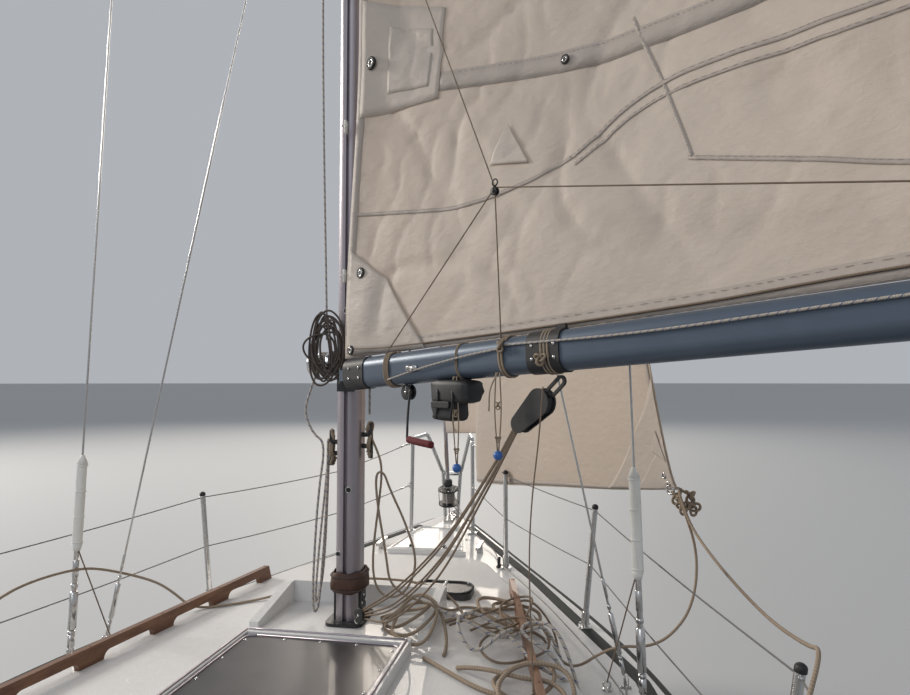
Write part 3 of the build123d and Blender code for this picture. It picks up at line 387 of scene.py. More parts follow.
def add_mesh(name, points, faces, finish_name, body, smooth=True):
    """A piece of points and faces that rides on a body."""
    mesh = bpy.data.meshes.new(name)
    mesh.from_pydata([tuple(p) for p in points], [], faces)
    mesh.update()
    made = bpy.data.objects.new(name, mesh)
    bpy.context.scene.collection.objects.link(made)
    mesh.materials.append(finishes[finish_name].material)
    if smooth:
        mesh.shade_smooth()
    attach(made, body)
    finish_name in record_slots
    return made


def merged(name, shapes, finish_name, body, smooth=True):
    """One piece of several shapes, each its points and faces."""
    points, faces = [], []
    for more, rings, *_ in shapes:
        faces += [tuple(i + len(points) for i in ring) for ring in rings]
        points += more
    return add_mesh(name, points, faces, finish_name, body, smooth)


def between_points(a, b, c, d, t):
    """What lies at a share t from b to c on the smooth line through four points or numbers."""
    return 0.5 * (2 * b + (c - a) * t + (2 * a - 5 * b + 4 * c - d) * t**2 + (3 * b - a - 3 * c + d) * t**3)


def smooth_path(points, per_run=8):
    """Points of a smooth line through the given ones."""
    points = [Vector(p) for p in points]
    if len(points) == 2:
        return [points[0].lerp(points[1], k / per_run) for k in range(per_run + 1)]
    ends = [points[0] * 2 - points[1], *points, points[-1] * 2 - points[-2]]
    line = []
    for four in zip(ends, ends[1:], ends[2:], ends[3:]):
        line += [between_points(*four, k / per_run) for k in range(per_run)]
    line.append(points[-1])
    return line


def closed(route):
    """A route that ends where it starts."""
    return [*route, route[0]]


def soft(value, power):
    """A value from -1 to 1 raised to a power, with its sign kept."""
    return math.copysign(abs(value) ** power, value)


def radial(axis, angle):
    """Direction square to an axis, at an angle round it."""
    across = axis.orthogonal().normalized()
    return across * math.cos(angle) + axis.cross(across) * math.sin(angle)


def grid_faces(columns, rows):
    """Faces of a grid whose points run along each row in turn."""
    return [
        (r * columns + c, r * columns + c + 1, (r + 1) * columns + c + 1, (r + 1) * columns + c)
        for r in range(rows - 1)
        for c in range(columns - 1)
    ]


def wrapped_faces(columns, rows):
    """Faces of a grid whose rows close on themselves."""
    return [
        (r * columns + a, r * columns + b, (r + 1) * columns + b, (r + 1) * columns + a)
        for r in range(rows - 1)
        for a, b in zip(range(columns), closed(range(columns))[1:])
    ]


def tube_faces(columns, rows):
    """Faces of a tube of rings, and of its two ends."""
    last = (rows - 1) * columns
    return [*wrapped_faces(columns, rows), tuple(range(columns))[::-1], tuple(range(last, last + columns))]


def tube_shape(path, radius, sides=8):
    """Points, faces and UVs of a tube along a path; V counts braid pitches of three radii."""
    points, rows = [], []
    tangent = (path[1] - path[0]).normalized()
    across = tangent.orthogonal().normalized()
    travelled = 0.0
    for index, spot in enumerate(path):
        ahead = path[min(index + 1, len(path) - 1)] - path[max(index - 1, 0)]
        if ahead.length > 1e-9:
            tangent = ahead.normalized()
        across = (across - tangent * across.dot(tangent)).normalized()
        other = tangent.cross(across)
        if index:
            travelled += (spot - path[index - 1]).length
        rows.append(travelled / (radius * 3))
        for k in range(sides):
            turn = math.tau * k / sides
            points.append(spot + (across * math.cos(turn) + other * math.sin(turn)) * radius)
    uvs = [
        ((k / sides, low), ((k + 1) / sides, low), ((k + 1) / sides, high), (k / sides, high))
        for low, high in zip(rows, rows[1:])
        for k in range(sides)
    ]
    uvs += [((0.5, row),) * sides for row in (rows[0], rows[-1])]
    return points, tube_faces(sides, len(path)), uvs


def add_tubes(name, tubes, finish_name, body):
    """One piece of several tubes, with their UVs."""
    made = merged(name, tubes, finish_name, body)
    layer = made.data.uv_layers.new(name="UVMap")
    layer.data.foreach_set("uv", [x for _, _, uvs in tubes for face in uvs for uv in face for x in uv])
    return made


def add_lines(name, routes, radius, finish_name, body, per_run=8, sides=8):
    """One piece of several ropes, wires or rods that share a thickness."""
    tubes = [tube_shape(smooth_path(route, per_run), radius, sides) for route in routes]
    return add_tubes(name, tubes, finish_name, body)


def turned(profile, foot, axis=UP, segments=20):
    """Points and faces of a turned shape: (radius, height) pairs about an axis."""
    foot, axis = Vector(foot), Vector(axis).normalized()
    spokes = [radial(axis, math.tau * k / segments) for k in range(segments)]
    points = [foot + axis * height + spoke * radius for radius, height in profile for spoke in spokes]
    return points, tube_faces(segments, len(profile))


def prism(outline, origin, across, up, depth):
    """Points and faces of a flat outline, given across and up from an origin, with a depth behind it."""
    across, up = Vector(across).normalized(), Vector(up).normalized()
    back = across.cross(up) * -depth
    front = [Vector(origin) + across * x + up * y for x, y in outline]
    count = len(front)
    faces = [tuple(range(count)), tuple(range(2 * count - 1, count - 1, -1))]
    faces += [(i, i + count, (i + 1) % count + count, (i + 1) % count) for i in range(count)]
    return front + [p + back for p in front], faces


def rounded(half_x, half_y, corner, steps=5):
    """Outline of a rounded rectangle about its middle."""
    outline = []
    for turn, sx, sy in ((0, 1, 1), (90, -1, 1), (180, -1, -1), (270, 1, -1)):
        for k in range(steps + 1):
            angle = math.radians(turn + 90 * k / steps)
            outline.append(
                (sx * (half_x - corner) + corner * math.cos(angle), sy * (half_y - corner) + corner * math.sin(angle))
            )
    return outline


def ring(middle, axis, radius, count=20):
    """Points round a circle about an axis, the first one again at the end."""
    middle, axis = Vector(middle), Vector(axis).normalized()
    return [middle + radial(axis, math.tau * k / count) * radius for k in range(count + 1)]


def hoop(middle, axis, radius, wire, count=18, sides=6):
    """A ring of wire about an axis."""
    return tube_shape(ring(middle, axis, radius, count), wire, sides)


def disc(spot, axis, radius, depth, crown=0.0002, segments=20):
    """A flat round plate on a surface, its face raised a little in the middle."""
    return turned([(0.0005, 0), (radius, 0), (radius, depth), (0.0005, depth + crown)], spot, axis, segments)


def pin(middle, axis, radius, half, segments=12):
    """A pin that stands out as far to each side of its middle."""
    return turned([(radius, -half), (radius, half)], middle, axis, segments)


def barrel(foot, way, inner, radius, length):
    """A screw's body round a rod, its ends drawn in to the rod."""
    profile = [(inner, 0), (radius, length * 0.04), (radius, length * 0.96), (inner, length)]
    return turned(profile, foot, way, 14)


def bolt(spot, axis=UP, segments=8):
    """A round bolt head on a surface."""
    return turned(BOLT, spot, axis, segments)


def foot_bolts(foot):
    """The four bolts of a rail's or stanchion's foot."""
    return [bolt(foot + Vector((dx, dy, 0))) for dx in (-0.026, 0.026) for dy in (-0.019, 0.019)]


def skin(*nodes):
    """Tree of the faces of some CAD nodes."""
    points, faces = [], []
    for node in nodes:
        mesh = frame["nodes"][node].data
        faces += [tuple(i + len(points) for i in face.vertices) for face in mesh.polygons]
        points += [v.co.copy() for v in mesh.vertices]
    return BVHTree.FromPolygons(points, faces)


def under(tree, x, y, lift=0.0, top=1.6):
    """Point of a surface under a place, lifted off it; the look down starts at a height."""
    spot = tree.ray_cast(Vector((x, y, top)), -UP)[0]
    if spot is None:
        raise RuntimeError(f"nothing lies under {x}, {y}")
    return spot + UP * lift


# Half beam at the sheer: x, half beam
BEAMS = (
    (-4.65, 0.94), (-3.9, 1.095), (-2.7, 1.265), (-1.0, 1.32), (0.1, 1.14), (1.1, 0.675), (1.9, 0.235), (2.25, 0.02),
)


def half_beam(x):
    """Half beam of the deck's edge."""
    for (low, a), (high, b) in zip(BEAMS, BEAMS[1:]):
        if x <= high or high == BEAMS[-1][0]:
            return a + (b - a) * (x - low) / (high - low)


def lay(tree, route, lift):
    """A route laid on a surface."""
    return [under(tree, x, y, lift) for x, y in route]


def thicken(made, depth):
    """Gives a sheet its own thickness, half to each side."""
    solid = made.modifiers.new("thickness", "SOLIDIFY")
    solid.thickness = depth
    solid.offset = 0


def soften(made, width, segments=2):
    """Rounds the sharp edges of a piece."""
    bevel = made.modifiers.new("edges", "BEVEL")
    bevel.width = width
    bevel.segments = segments
    bevel.limit_method = "ANGLE"


def on_boom(distance, port=0.0, up=0.0):
    """Point in the boom's frame: along it, to its port side and up."""
    return boom_hinge + boom_dir * distance + boom_port * port + boom_up * up


# Mainsail sections: height at the luff, chord, twist in degrees, camber, rise of the chord
MAINSAIL = [
    (2.013, 2.6, 0, 0.015, 3.4),
    (2.9, 2.36, 1.5, 0.06, 3.3),
    (3.8, 2.11, 3, 0.085, 3.0),
    (5.8, 1.42, 6, 0.085, 1.0),
    (7.6, 0.73, 8, 0.07, 0.0),
    (9.03, 0.12, 9, 0.03, 0.0),
]
sail_thickness = 0.0012


def between(rows, height):
    """Row of a table at a height, eased between its neighbours."""
    for low, high in zip(rows, rows[1:]):
        if height <= high[0] or high is rows[-1]:
            share = (height - low[0]) / (high[0] - low[0])
            return [a + (b - a) * share for a, b in zip(low, high)]


def mainsail_spot(along, height):
    """Point of the mainsail at a share of the chord and a height of its luff."""
    _, chord, twist, camber, rise = between(MAINSAIL, height)
    angle = boom_angle + math.radians(twist)
    heading = Vector((-math.cos(angle), -math.sin(angle), 0))
    leeward = Vector((math.sin(angle), -math.cos(angle), 0))
    reach = chord * along
    belly = camber * chord * 4 * along * (1 - along) * (1 + 0.25 * (0.5 - along))
    spot = Vector((boom_hinge.x, 0, height)) + heading * 0.014
    spot += heading * reach * math.cos(math.radians(rise)) + UP * reach * math.sin(math.radians(rise))
    spot += leeward * (belly + 0.003)
    slack = max(0.0, min(1.0, (height - 2.05) / 1.2))
    spot.y -= 0.046 * slack * (3 - 2 * slack) * slack * math.exp(-reach / 0.5)
    return spot, leeward


def cloth_relief(reach, height):
    """Creases of the slack cloth, in metres, from distances along and up the sail."""
    broad = noise.noise(Vector((reach * 1.3 - height * 0.55, height * 0.8 + reach * 0.35, 0.3)))
    diagonal = noise.noise(Vector((reach * 2.2 + height * 3.4, height * 0.9 - reach * 0.5, 4.1)))
    fine = noise.noise(Vector((reach * 9.0 + height * 7.0, height * 6.0 - reach * 4.0, 9.7)))
    near_luff = math.exp(-reach / 0.35)
    luff = math.sin(height * 8.2) * 0.006 * near_luff
    crease = 1 - abs(noise.noise(Vector((reach * 2.6 + height * 2.0, height * 1.7 - reach * 1.1, 6.6)))) * 2
    small = 1 - abs(noise.noise(Vector((reach * 5.2 - height * 3.1, height * 4.4 + reach * 2.0, 2.9)))) * 2
    sharp = max(0.0, crease) ** 6 * 0.012 + max(0.0, small) ** 5 * 0.005
    return broad * 0.028 + diagonal * 0.020 + fine * 0.005 + sharp + luff


def mainsail_point(along, height, lift=0.0):
    """Point of the creased mainsail; lift stands out to its port side."""
    spot, leeward = mainsail_spot(along, height)
    chord = between(MAINSAIL, height)[1]
    reach = chord * along
    free = min(1.0, reach / 0.12) * min(1.0, (height - MAINSAIL[0][0]) / 0.15)
    relief = cloth_relief(reach, height) * free
    return spot + leeward * (relief * 0.9 - lift)


# Turned profiles, as radius and height: bolt head, ball, wire screw, tube cap, roller, swivel and stud
BALL_RADIUS = 0.0135
BOLT = [(0.0052, 0), (0.0052, 0.001), (0.004, 0.0026), (0.0018, 0.0034), (0.0004, 0.0035)]
BALL = [
    (0.0005, 0),
    *((BALL_RADIUS * math.sin(math.pi * k / 12), BALL_RADIUS * (1 - math.cos(math.pi * k / 12))) for k in range(1, 12)),
    (0.0005, 2 * BALL_RADIUS),
]
SCREW = [
    (0.003, 0), (0.0058, 0.003), (0.0058, 0.035), (0.0042, 0.040),
    (0.0042, 0.058), (0.0062, 0.062), (0.0062, 0.082), (0.003, 0.10),
]
CAP = [(0.0128, 0), (0.0140, 0.001), (0.0140, 0.012), (0.0115, 0.017), (0.006, 0.0205), (0.0005, 0.0215)]
ROLLER = [(0.008, 0), (0.0065, 0.006), (0.0065, 0.034), (0.009, 0.040), (0.006, 0.045), (0.0005, 0.046)]
SWIVEL = [(0.0135, 0), (0.026, 0.004), (0.030, 0.012), (0.030, 0.04), (0.024, 0.05), (0.0135, 0.052)]
STUD = [
    (0.009, -0.004), (0.009, 0.003), (0.004, 0.004), (0.004, 0.016), (0.0065, 0.018), (0.0065, 0.022), (0.0005, 0.024),
]


def sail_at(reach, height, lift=0.0):
    """Point of the mainsail at a distance along the boom and a height over the water."""
    luff = height
    for _ in range(4):
        _, chord, _, _, rise = between(MAINSAIL, luff)
        luff = max(MAINSAIL[0][0], min(MAINSAIL[-1][0], height - reach * math.sin(math.radians(rise))))
    return mainsail_point(min(1.0, max(0.0, reach - 0.014) / chord), luff, lift)


def smooth_flat(route, per_run=8):
    """A smooth line through pairs of numbers."""
    return [(p.x, p.y) for p in smooth_path([(x, y, 0) for x, y in route], per_run)]


def band_shape(route, width, spot, lift):
    """A flat band of cloth along a route in a sail's own coordinates."""
    points, faces = [], []
    for index, (x, y) in enumerate(route):
        ax, ay = route[max(index - 1, 0)]
        bx, by = route[min(index + 1, len(route) - 1)]
        length = math.hypot(bx - ax, by - ay) or 1.0
        nx, ny = -(by - ay) / length * width / 2, (bx - ax) / length * width / 2
        points += [spot(x + nx, y + ny, lift), spot(x, y, lift + 0.0008), spot(x - nx, y - ny, lift)]
    for row in range(len(route) - 1):
        a = row * 3
        faces += [(a, a + 1, a + 4, a + 3), (a + 1, a + 2, a + 5, a + 4)]
    return points, faces


def patch_shape(corners, spot, lift, across=18, up=12):
    """A patch of cloth between three or four corners in a sail's own coordinates."""
    a, b, c, d = corners if len(corners) == 4 else (*corners, corners[-1])
    points = []
    for r in range(up + 1):
        v = r / up
        for k in range(across + 1):
            u = k / across
            x = (a[0] * (1 - u) + b[0] * u) * (1 - v) + (d[0] * (1 - u) + c[0] * u) * v
            y = (a[1] * (1 - u) + b[1] * u) * (1 - v) + (d[1] * (1 - u) + c[1] * u) * v
            points.append(spot(x, y, lift))
    return points, grid_faces(across + 1, up + 1)


def add_cloth(name, shapes, finish_name, body, depth=0.0008):
    """Patches or bands sewn on a sail, as one piece."""
    made = merged(name, shapes, finish_name, body)
    thicken(made, depth)
    return made


# Mainsail bands: breadth, then distances along the boom and heights over the water
MAINSAIL_BANDS = (
    (0.070, ((0.4, 2.98), (0.751, 2.92), (0.98, 2.885), (1.234, 2.865), (1.5, 2.86), (2.0, 2.88), (2.33, 2.92))),
    (0.014, ((0.02, 2.56), (0.148, 2.546), (0.478, 2.51), (0.62, 2.509), (0.818, 2.53), (0.977, 2.575))),
    (0.014, ((0.977, 2.575), (1.231, 2.71), (1.592, 2.715), (1.744, 2.712), (2.1, 2.72), (2.42, 2.74))),
    (0.010, ((0.99, 2.55), (1.24, 2.673), (1.6, 2.678), (1.75, 2.676), (2.43, 2.70))),
    (0.012, ((1.337, 2.483), (1.607, 2.408), (1.801, 2.35), (2.2, 2.25), (2.5, 2.19))),
    (0.012, ((1.146, 2.942), (1.273, 2.657), (1.345, 2.481))),
    (0.055, ((0.05, 2.05), (0.269, 2.05), (0.8, 2.075), (1.379, 2.11), (1.794, 2.145), (2.55, 2.19))),
    (0.012, ((0.03, 3.62), (0.6, 3.64), (1.2, 3.70), (1.8, 3.80), (2.1, 3.86))),
    (0.012, ((0.03, 4.62), (0.6, 4.66), (1.2, 4.74), (1.78, 4.84))),
    (0.012, ((0.03, 5.62), (0.6, 5.66), (1.1, 5.74), (1.44, 5.82))),
    (0.012, ((0.03, 6.62), (0.5, 6.66), (1.08, 6.76))),
    (0.012, ((0.03, 7.62), (0.4, 7.66), (0.7, 7.70))),
    (0.04, ((0.03, 2.1), (0.03, 3.5), (0.03, 5.0), (0.03, 7.0), (0.03, 8.9))),
)
MAINSAIL_PATCHES = (
    ((0.03, 2.93), (0.411, 2.918), (0.41, 3.257), (0.03, 3.39)),
    ((0.153, 2.999), (0.36, 2.975), (0.36, 3.19), (0.153, 3.26)),
    ((0.668, 2.620), (0.829, 2.592), (0.727, 2.741)),
    ((0.03, 2.03), (0.45, 2.04), (0.22, 2.30), (0.03, 2.42)),
    ((2.2, 2.18), (2.56, 2.19), (2.52, 2.55), (2.35, 2.42)),
    ((2.1, 2.84), (2.36, 2.86), (2.33, 3.12), (2.2, 3.05)),
)
# Eyelets: distance, height, radius
MAINSAIL_EYELETS = (
    (0.075, 3.134, 0.020),
    (0.093, 2.33, 0.017),
    (0.925, 2.895, 0.012),
    (1.5, 2.86, 0.010),
    (2.32, 2.93, 0.017),
    (0.055, 2.045, 0.014),
    (2.53, 2.20, 0.016),
)


def add_mainsail_details():
    """Seams, patches, eyelets, stitches, foot rope, battens and slides of the mainsail."""
    seams = [band_shape(smooth_flat(r, 14), w, sail_at, 0.0016) for w, r in MAINSAIL_BANDS]
    pieces = [add_cloth("mainsail_seams", seams, "sail_seam", BOOM)]
    patches = [patch_shape(c, sail_at, 0.0036 + 0.0012 * k) for k, c in enumerate(MAINSAIL_PATCHES)]
    pieces.append(add_cloth("mainsail_patches", patches, "sail_patch", BOOM))
    rims, eyelets = [], []
    for reach, height, radius in MAINSAIL_EYELETS:
        rims.append(hoop(sail_at(reach, height, 0.008), boom_port, radius, radius * 0.3, 18, 8))
        eyelets.append(hoop(sail_at(reach, height, 0.010), boom_port, radius * 0.62, radius * 0.16, 18, 8))
    pieces.append(merged("mainsail_eyelets", eyelets, "steel", BOOM))
    pieces.append(merged("mainsail_eyelet_rims", rims, "black_plastic", BOOM))
    stitches = []
    for width, route in MAINSAIL_BANDS[:7]:
        for side in (-0.38, 0.38):
            line = smooth_flat([(x, y + side * width) for x, y in route], 30)
            stitches += [
                tube_shape([sail_at(*a, 0.0036), sail_at(*b, 0.0036)], 0.0006, 4)
                for a, b in zip(line[::2], line[1::2])
            ]
    pieces.append(merged("mainsail_stitches", stitches, "sail_seam", BOOM, smooth=False))
    foot = [sail_at(x, z, 0.006) for x, z in smooth_flat(MAINSAIL_BANDS[6][1], 20)]
    pieces.append(add_lines("mainsail_foot_rope", [foot], 0.0032, "rope_brown", BOOM, 1, 6))
    pieces.append(add_battens())
    slides = []
    for index in range(12):
        foot = Vector((boom_hinge.x + 0.016, 0, 2.33 + 0.58 * index))
        slides.append(prism(rounded(0.012, 0.026, 0.006, 3), foot - PORT * 0.0035, AHEAD, UP, 0.007))
        slides.append(hoop(foot - AHEAD * 0.016, (0, 0.3, 1), 0.012, 0.0022, 14))
    merged("luff_slides", slides, "white_plastic", ROOT)
    return pieces


def add_battens():
    """Four batten pockets that run to the leech."""
    pockets = []
    for height, length in ((3.35, 0.8), (4.75, 0.75), (6.1, 0.65), (7.5, 0.45)):
        _, chord, _, _, rise = between(MAINSAIL, height)
        end = chord * math.cos(math.radians(rise))
        lift = chord * math.sin(math.radians(rise))
        route = [(end - length, height + lift * (1 - length / chord)), (end - 0.01, height + lift)]
        pockets.append(band_shape(smooth_flat(route, 16), 0.055, sail_at, 0.004))
    return add_cloth("mainsail_battens", pockets, "sail_patch", BOOM)


# Jib: height at the luff, share of the way up the leech, camber
JIB = ((1.58, 0, 0.10), (3.2, 0.235, 0.13), (5.2, 0.525, 0.12), (7.0, 0.785, 0.09), (8.5, 0.99, 0.03))
# Its slack fold: share of the cloth, share of the chord, distance to leeward, height of the foot
FOLD = (
    (0.0, 0.0, 0.0, 1.580),
    (0.12, 0.14, 0.020, 1.600),
    (0.26, 0.33, 0.040, 1.618),
    (0.295, 0.368, 0.022, 1.600),
    (0.315, 0.355, -0.010, 1.530),
    (0.36, 0.29, -0.028, 1.420),
    (0.40, 0.243, -0.045, 1.345),
    (0.42, 0.232, -0.065, 1.327),
    (0.44, 0.245, -0.088, 1.325),
    (0.52, 0.36, -0.080, 1.345),
    (0.70, 0.60, -0.055, 1.405),
    (0.85, 0.80, -0.025, 1.455),
    (1.0, 1.0, 0.0, 1.520),
)
stay_foot = Vector((2.07, 0, 1.011))
stay_head = Vector((0.073, 0, 9.199))
stay_way = (stay_head - stay_foot).normalized()
jib_clew = Vector((0.15, -1.25, 1.52))


def on_stay(height):
    """Point of the forestay at a height."""
    return stay_foot.lerp(stay_head, (height - stay_foot.z) / (stay_head.z - stay_foot.z))


def folded(share):
    """Row of the fold table at a share of the cloth, on a smooth line."""
    rows = [FOLD[0], *FOLD, FOLD[-1]]
    for a, b, c, d in zip(rows, rows[1:], rows[2:], rows[3:]):
        if share <= c[0] or c is FOLD[-1]:
            t = (share - b[0]) / ((c[0] - b[0]) or 1)
            return [between_points(*four, t) for four in zip(a[1:], b[1:], c[1:], d[1:])]


def jib_at(share, rise, lift=0.0):
    """Point of the creased jib at a share of its cloth and of its height; lift stands out to windward."""
    height = JIB[0][0] + (JIB[-1][0] - JIB[0][0]) * rise
    _, up, camber = between(JIB, height)
    luff = on_stay(height)
    leech = jib_clew.lerp(on_stay(JIB[-1][0]), up)
    heading = (leech - luff).normalized()
    luff = luff + Vector((heading.x, heading.y, 0)).normalized() * 0.021
    leeward = Vector((-heading.y, heading.x, 0)).normalized()
    slack = max(0.0, min(1.0, (3.7 - height) / 2.0))
    slack = slack * slack * (3 - 2 * slack)
    spot, offset, foot = folded(share)
    along = share + (spot - share) * slack
    chord = (leech - luff).length
    belly = camber * chord * 4 * along * (1 - along) * (1 - 0.62 * slack)
    point = luff.lerp(leech, along) + leeward * (belly + offset * slack)
    drop = (foot - luff.lerp(leech, along).z) * math.exp(-rise / 0.045)
    relief = noise.noise(Vector((along * 3.0 + rise * 9, rise * 7.0, 2.2))) * 0.014
    relief += noise.noise(Vector((share * 14.0, rise * 40.0 + share * 9, 7.2))) * 0.004
    free = min(1.0, share / 0.08) * min(1.0, (1 - share) / 0.05 + 0.15)
    return point + UP * drop + leeward * (relief * free - lift)


# Jib bands: breadth, then shares of the cloth and of the height; and the corners of its patches
JIB_BANDS = (
    (0.012, ((0.985, 0.004), (0.985, 0.2), (0.985, 0.5), (0.985, 0.97))),
    (0.005, ((0.02, 0.004), (0.2, 0.004), (0.45, 0.004), (0.7, 0.004), (0.98, 0.004))),
    (0.004, ((0.02, 0.10), (0.5, 0.12), (0.98, 0.15))),
    (0.004, ((0.02, 0.24), (0.5, 0.26), (0.98, 0.29))),
    (0.004, ((0.02, 0.38), (0.5, 0.40), (0.98, 0.43))),
    (0.004, ((0.02, 0.52), (0.5, 0.54), (0.98, 0.57))),
    (0.004, ((0.02, 0.66), (0.5, 0.68), (0.98, 0.71))),
    (0.004, ((0.02, 0.80), (0.5, 0.82), (0.98, 0.84))),
)
JIB_PATCHES = (
    ((0.84, 0.003), (0.995, 0.003), (0.995, 0.075), (0.93, 0.05)),
    ((0.90, 0.003), (0.995, 0.003), (0.995, 0.045), (0.95, 0.03)),
    ((0.005, 0.003), (0.06, 0.003), (0.04, 0.03), (0.005, 0.045)),
    ((0.953, 0.036), (0.99, 0.030), (0.975, 0.048)),
)


def add_jib_details():
    """Seams, corner patches, eyelets and clew ring of the jib."""
    seams = [band_shape(smooth_flat(r, 16), w, jib_at, 0.002) for w, r in JIB_BANDS]
    pieces = [add_cloth("jib_seams", seams, "sail_seam", ROOT)]
    patches = [patch_shape(c, jib_at, 0.003 + 0.0012 * k) for k, c in enumerate(JIB_PATCHES)]
    pieces.append(add_cloth("jib_patches", patches, "sail_patch", ROOT))
    side = Vector((-0.57, 0.82, 0))
    eyelets = ((0.972, 0.020, 0.009, 0.003), (0.978, 0.012, 0.008, 0.003), (0.976, 0.0035, 0.019, 0.005))
    rings = [hoop(jib_at(x, y, 0.006), side, radius, wire, 18, 8) for x, y, radius, wire in eyelets]
    pieces.append(merged("jib_eyelets", rings, "steel", ROOT))
    hanks = [hoop(on_stay(1.75 + 0.7 * k), UP, 0.019, 0.002, 14) for k in range(10)]
    pieces.append(merged("jib_luff_ties", hanks, "rope_cream", ROOT))
    return pieces


class YACHT_PG_sizes(bpy.types.PropertyGroup):
    """Sizes that a user would change."""

    rope: bpy.props.FloatProperty(
        name="Sheet diameter", description="Diameter of the jib sheets", default=0.010, unit="LENGTH"
    )
    halyard: bpy.props.FloatProperty(
        name="Halyard diameter", description="Diameter of the halyards", default=0.009, unit="LENGTH"
    )
    thin_line: bpy.props.FloatProperty(
        name="Thin line", description="Diameter of the lazyjacks and sail stops", default=0.004, unit="LENGTH"
    )
    lifeline: bpy.props.FloatProperty(
        name="Lifeline", description="Diameter of the lifelines", default=0.005, unit="LENGTH"
    )
    pale_floor: bpy.props.FloatVectorProperty(
        name="Floor", description="Colour of the floor", default=(0.40, 0.41, 0.42), subtype="COLOR"
    )


# Camera fitted to the photograph: place in metres, heading and pitch, lens in millimetres
CAMERA_SPOT = Vector((-2.49, -0.86, 1.93))
CAMERA_HEADING, CAMERA_PITCH = math.radians(10.2), math.radians(2.9)
CAMERA_LENS = 26.2
FLOOR_REACH = 600.0
# How far the floor's opening keeps inside the hull's skin
FLOOR_INSET = 0.002
# Lights: name, power, breadth, place, target, colour
LIGHTS = (
    ("key", 4200, 5.0, (5.0, 21.0, 11.0), (-0.3, -0.4, 1.8), (1.0, 0.93, 0.84)),
    ("back", 2600, 8.0, (24.0, 5.0, 13.0), (0.2, -0.4, 2.5), (1.0, 0.90, 0.78)),
    ("fill", 700, 10.0, (-16.0, 4.0, 12.0), (0.0, -0.3, 2.2), (0.93, 0.96, 1.0)),
)


class YACHT_OT_stage(bpy.types.Operator):
    """Sets the camera, the floor at the waterline and soft studio light"""

    bl_idname = "yacht.stage"
    bl_label = "Stage"

    def execute(self, context):
        self.add_camera(context.scene)
        self.add_floor(context.scene.yacht_sizes.pale_floor)
        self.add_lights(context.scene)
        return {"FINISHED"}

    def aim(self, name, data, spot, way):
        """Puts a camera or a light in the scene, looking a given way."""
        made = bpy.data.objects.new(name, data)
        made.location = spot
        made.rotation_euler = way.to_track_quat("-Z", "Y").to_euler()
        bpy.context.scene.collection.objects.link(made)
        return made

    def add_camera(self, scene):
        data = bpy.data.cameras.new("camera")
        data.lens = CAMERA_LENS
        data.sensor_width = 36
        data.clip_start = 0.05
        data.clip_end = 1500
        level = math.cos(CAMERA_PITCH)
        look = (level * math.cos(CAMERA_HEADING), level * math.sin(CAMERA_HEADING), math.sin(CAMERA_PITCH))
        scene.camera = self.aim("camera", data, CAMERA_SPOT, Vector(look))

    def add_floor(self, colour):
        """A pale floor at the waterline, open where the hull stands in it."""
        outline = self.waterline()
        edge = [Vector((x, y, 0)) for x, y in outline] + [Vector((x, -y, 0)) for x, y in reversed(outline)]
        points = edge + [spot.normalized() * FLOOR_REACH for spot in edge]
        mesh = bpy.data.meshes.new("floor")
        mesh.from_pydata([tuple(p) for p in points], [], wrapped_faces(len(edge), 2))
        mesh.materials.append(Finish("floor_paint", tuple(colour), 0.6).material)
        floor = bpy.data.objects.new("floor", mesh)
        bpy.context.scene.collection.objects.link(floor)

    def waterline(self):
        """Half of the hull's outline where it meets the water, a little inside its skin."""
        hull = skin("hull")
        stern = hull.ray_cast(Vector((-6, 0.2, 0)), AHEAD)[0].x
        stem = hull.ray_cast(Vector((4, 0.001, 0)), -AHEAD)[0].x
        outline = []
        for k in range(61):
            x = stern + FLOOR_INSET + (stem - stern - 2 * FLOOR_INSET) * k / 60
            side = hull.ray_cast(Vector((x, 2, 0)), -PORT)[0]
            outline.append((x, max(0.001, side.y - FLOOR_INSET)))
        return outline

    def add_lights(self, scene):
        """A warm key that grazes the sail from port, a light ahead, a fill behind and a pale world."""
        for name, power, breadth, spot, target, colour in LIGHTS:
            data = bpy.data.lights.new(name, "AREA")
            data.energy = power
            data.size = breadth
            data.color = colour
            self.aim(name, data, spot, Vector(target) - Vector(spot))
        world = bpy.data.worlds.new("world")
        world.use_nodes = True
        back = world.node_tree.nodes["Background"]
        back.inputs["Color"].default_value = (0.86, 0.90, 0.96, 1)
        back.inputs["Strength"].default_value = 0.5
        scene.world = world
        scene.view_settings.view_transform = "Standard"


class YACHT_OT_finishes(bpy.types.Operator):
    """Paints every solid of the yacht with its own finish"""

    bl_idname = "yacht.finishes"
    bl_label = "Finishes"

    def execute(self, context):
        paint_gelcoat()
        paint_hull()
        paint_wood()
        paint_metals()
        paint_plastics()
        paint_cloth()
        paint_ropes()
        slots = {row["node"]: row["material_slot"] for row in frame["record"]["subparts"]}
        for node, made in frame["nodes"].items():
            made.data.materials.clear()
            made.data.materials.append(finishes[slots[node]].material)
        return {"FINISHED"}


class YACHT_OT_mainsail(bpy.types.Operator):
    """Makes the creased mainsail with its patches, seams and slides"""

    bl_idname = "yacht.mainsail"
    bl_label = "Mainsail"

    def execute(self, context):
        columns, rows = 200, 300
        low, high = MAINSAIL[0][0], MAINSAIL[-1][0]
        points = [
            mainsail_point(c / (columns - 1), low + (high - low) * (r / (rows - 1)) ** 1.15)
            for r in range(rows)
            for c in range(columns)
        ]
        sail = add_mesh("mainsail_cloth", points, grid_faces(columns, rows), "sailcloth", BOOM)
        thicken(sail, sail_thickness)
        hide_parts("mainsail")
        pieces = add_mainsail_details()
        return {"FINISHED"}


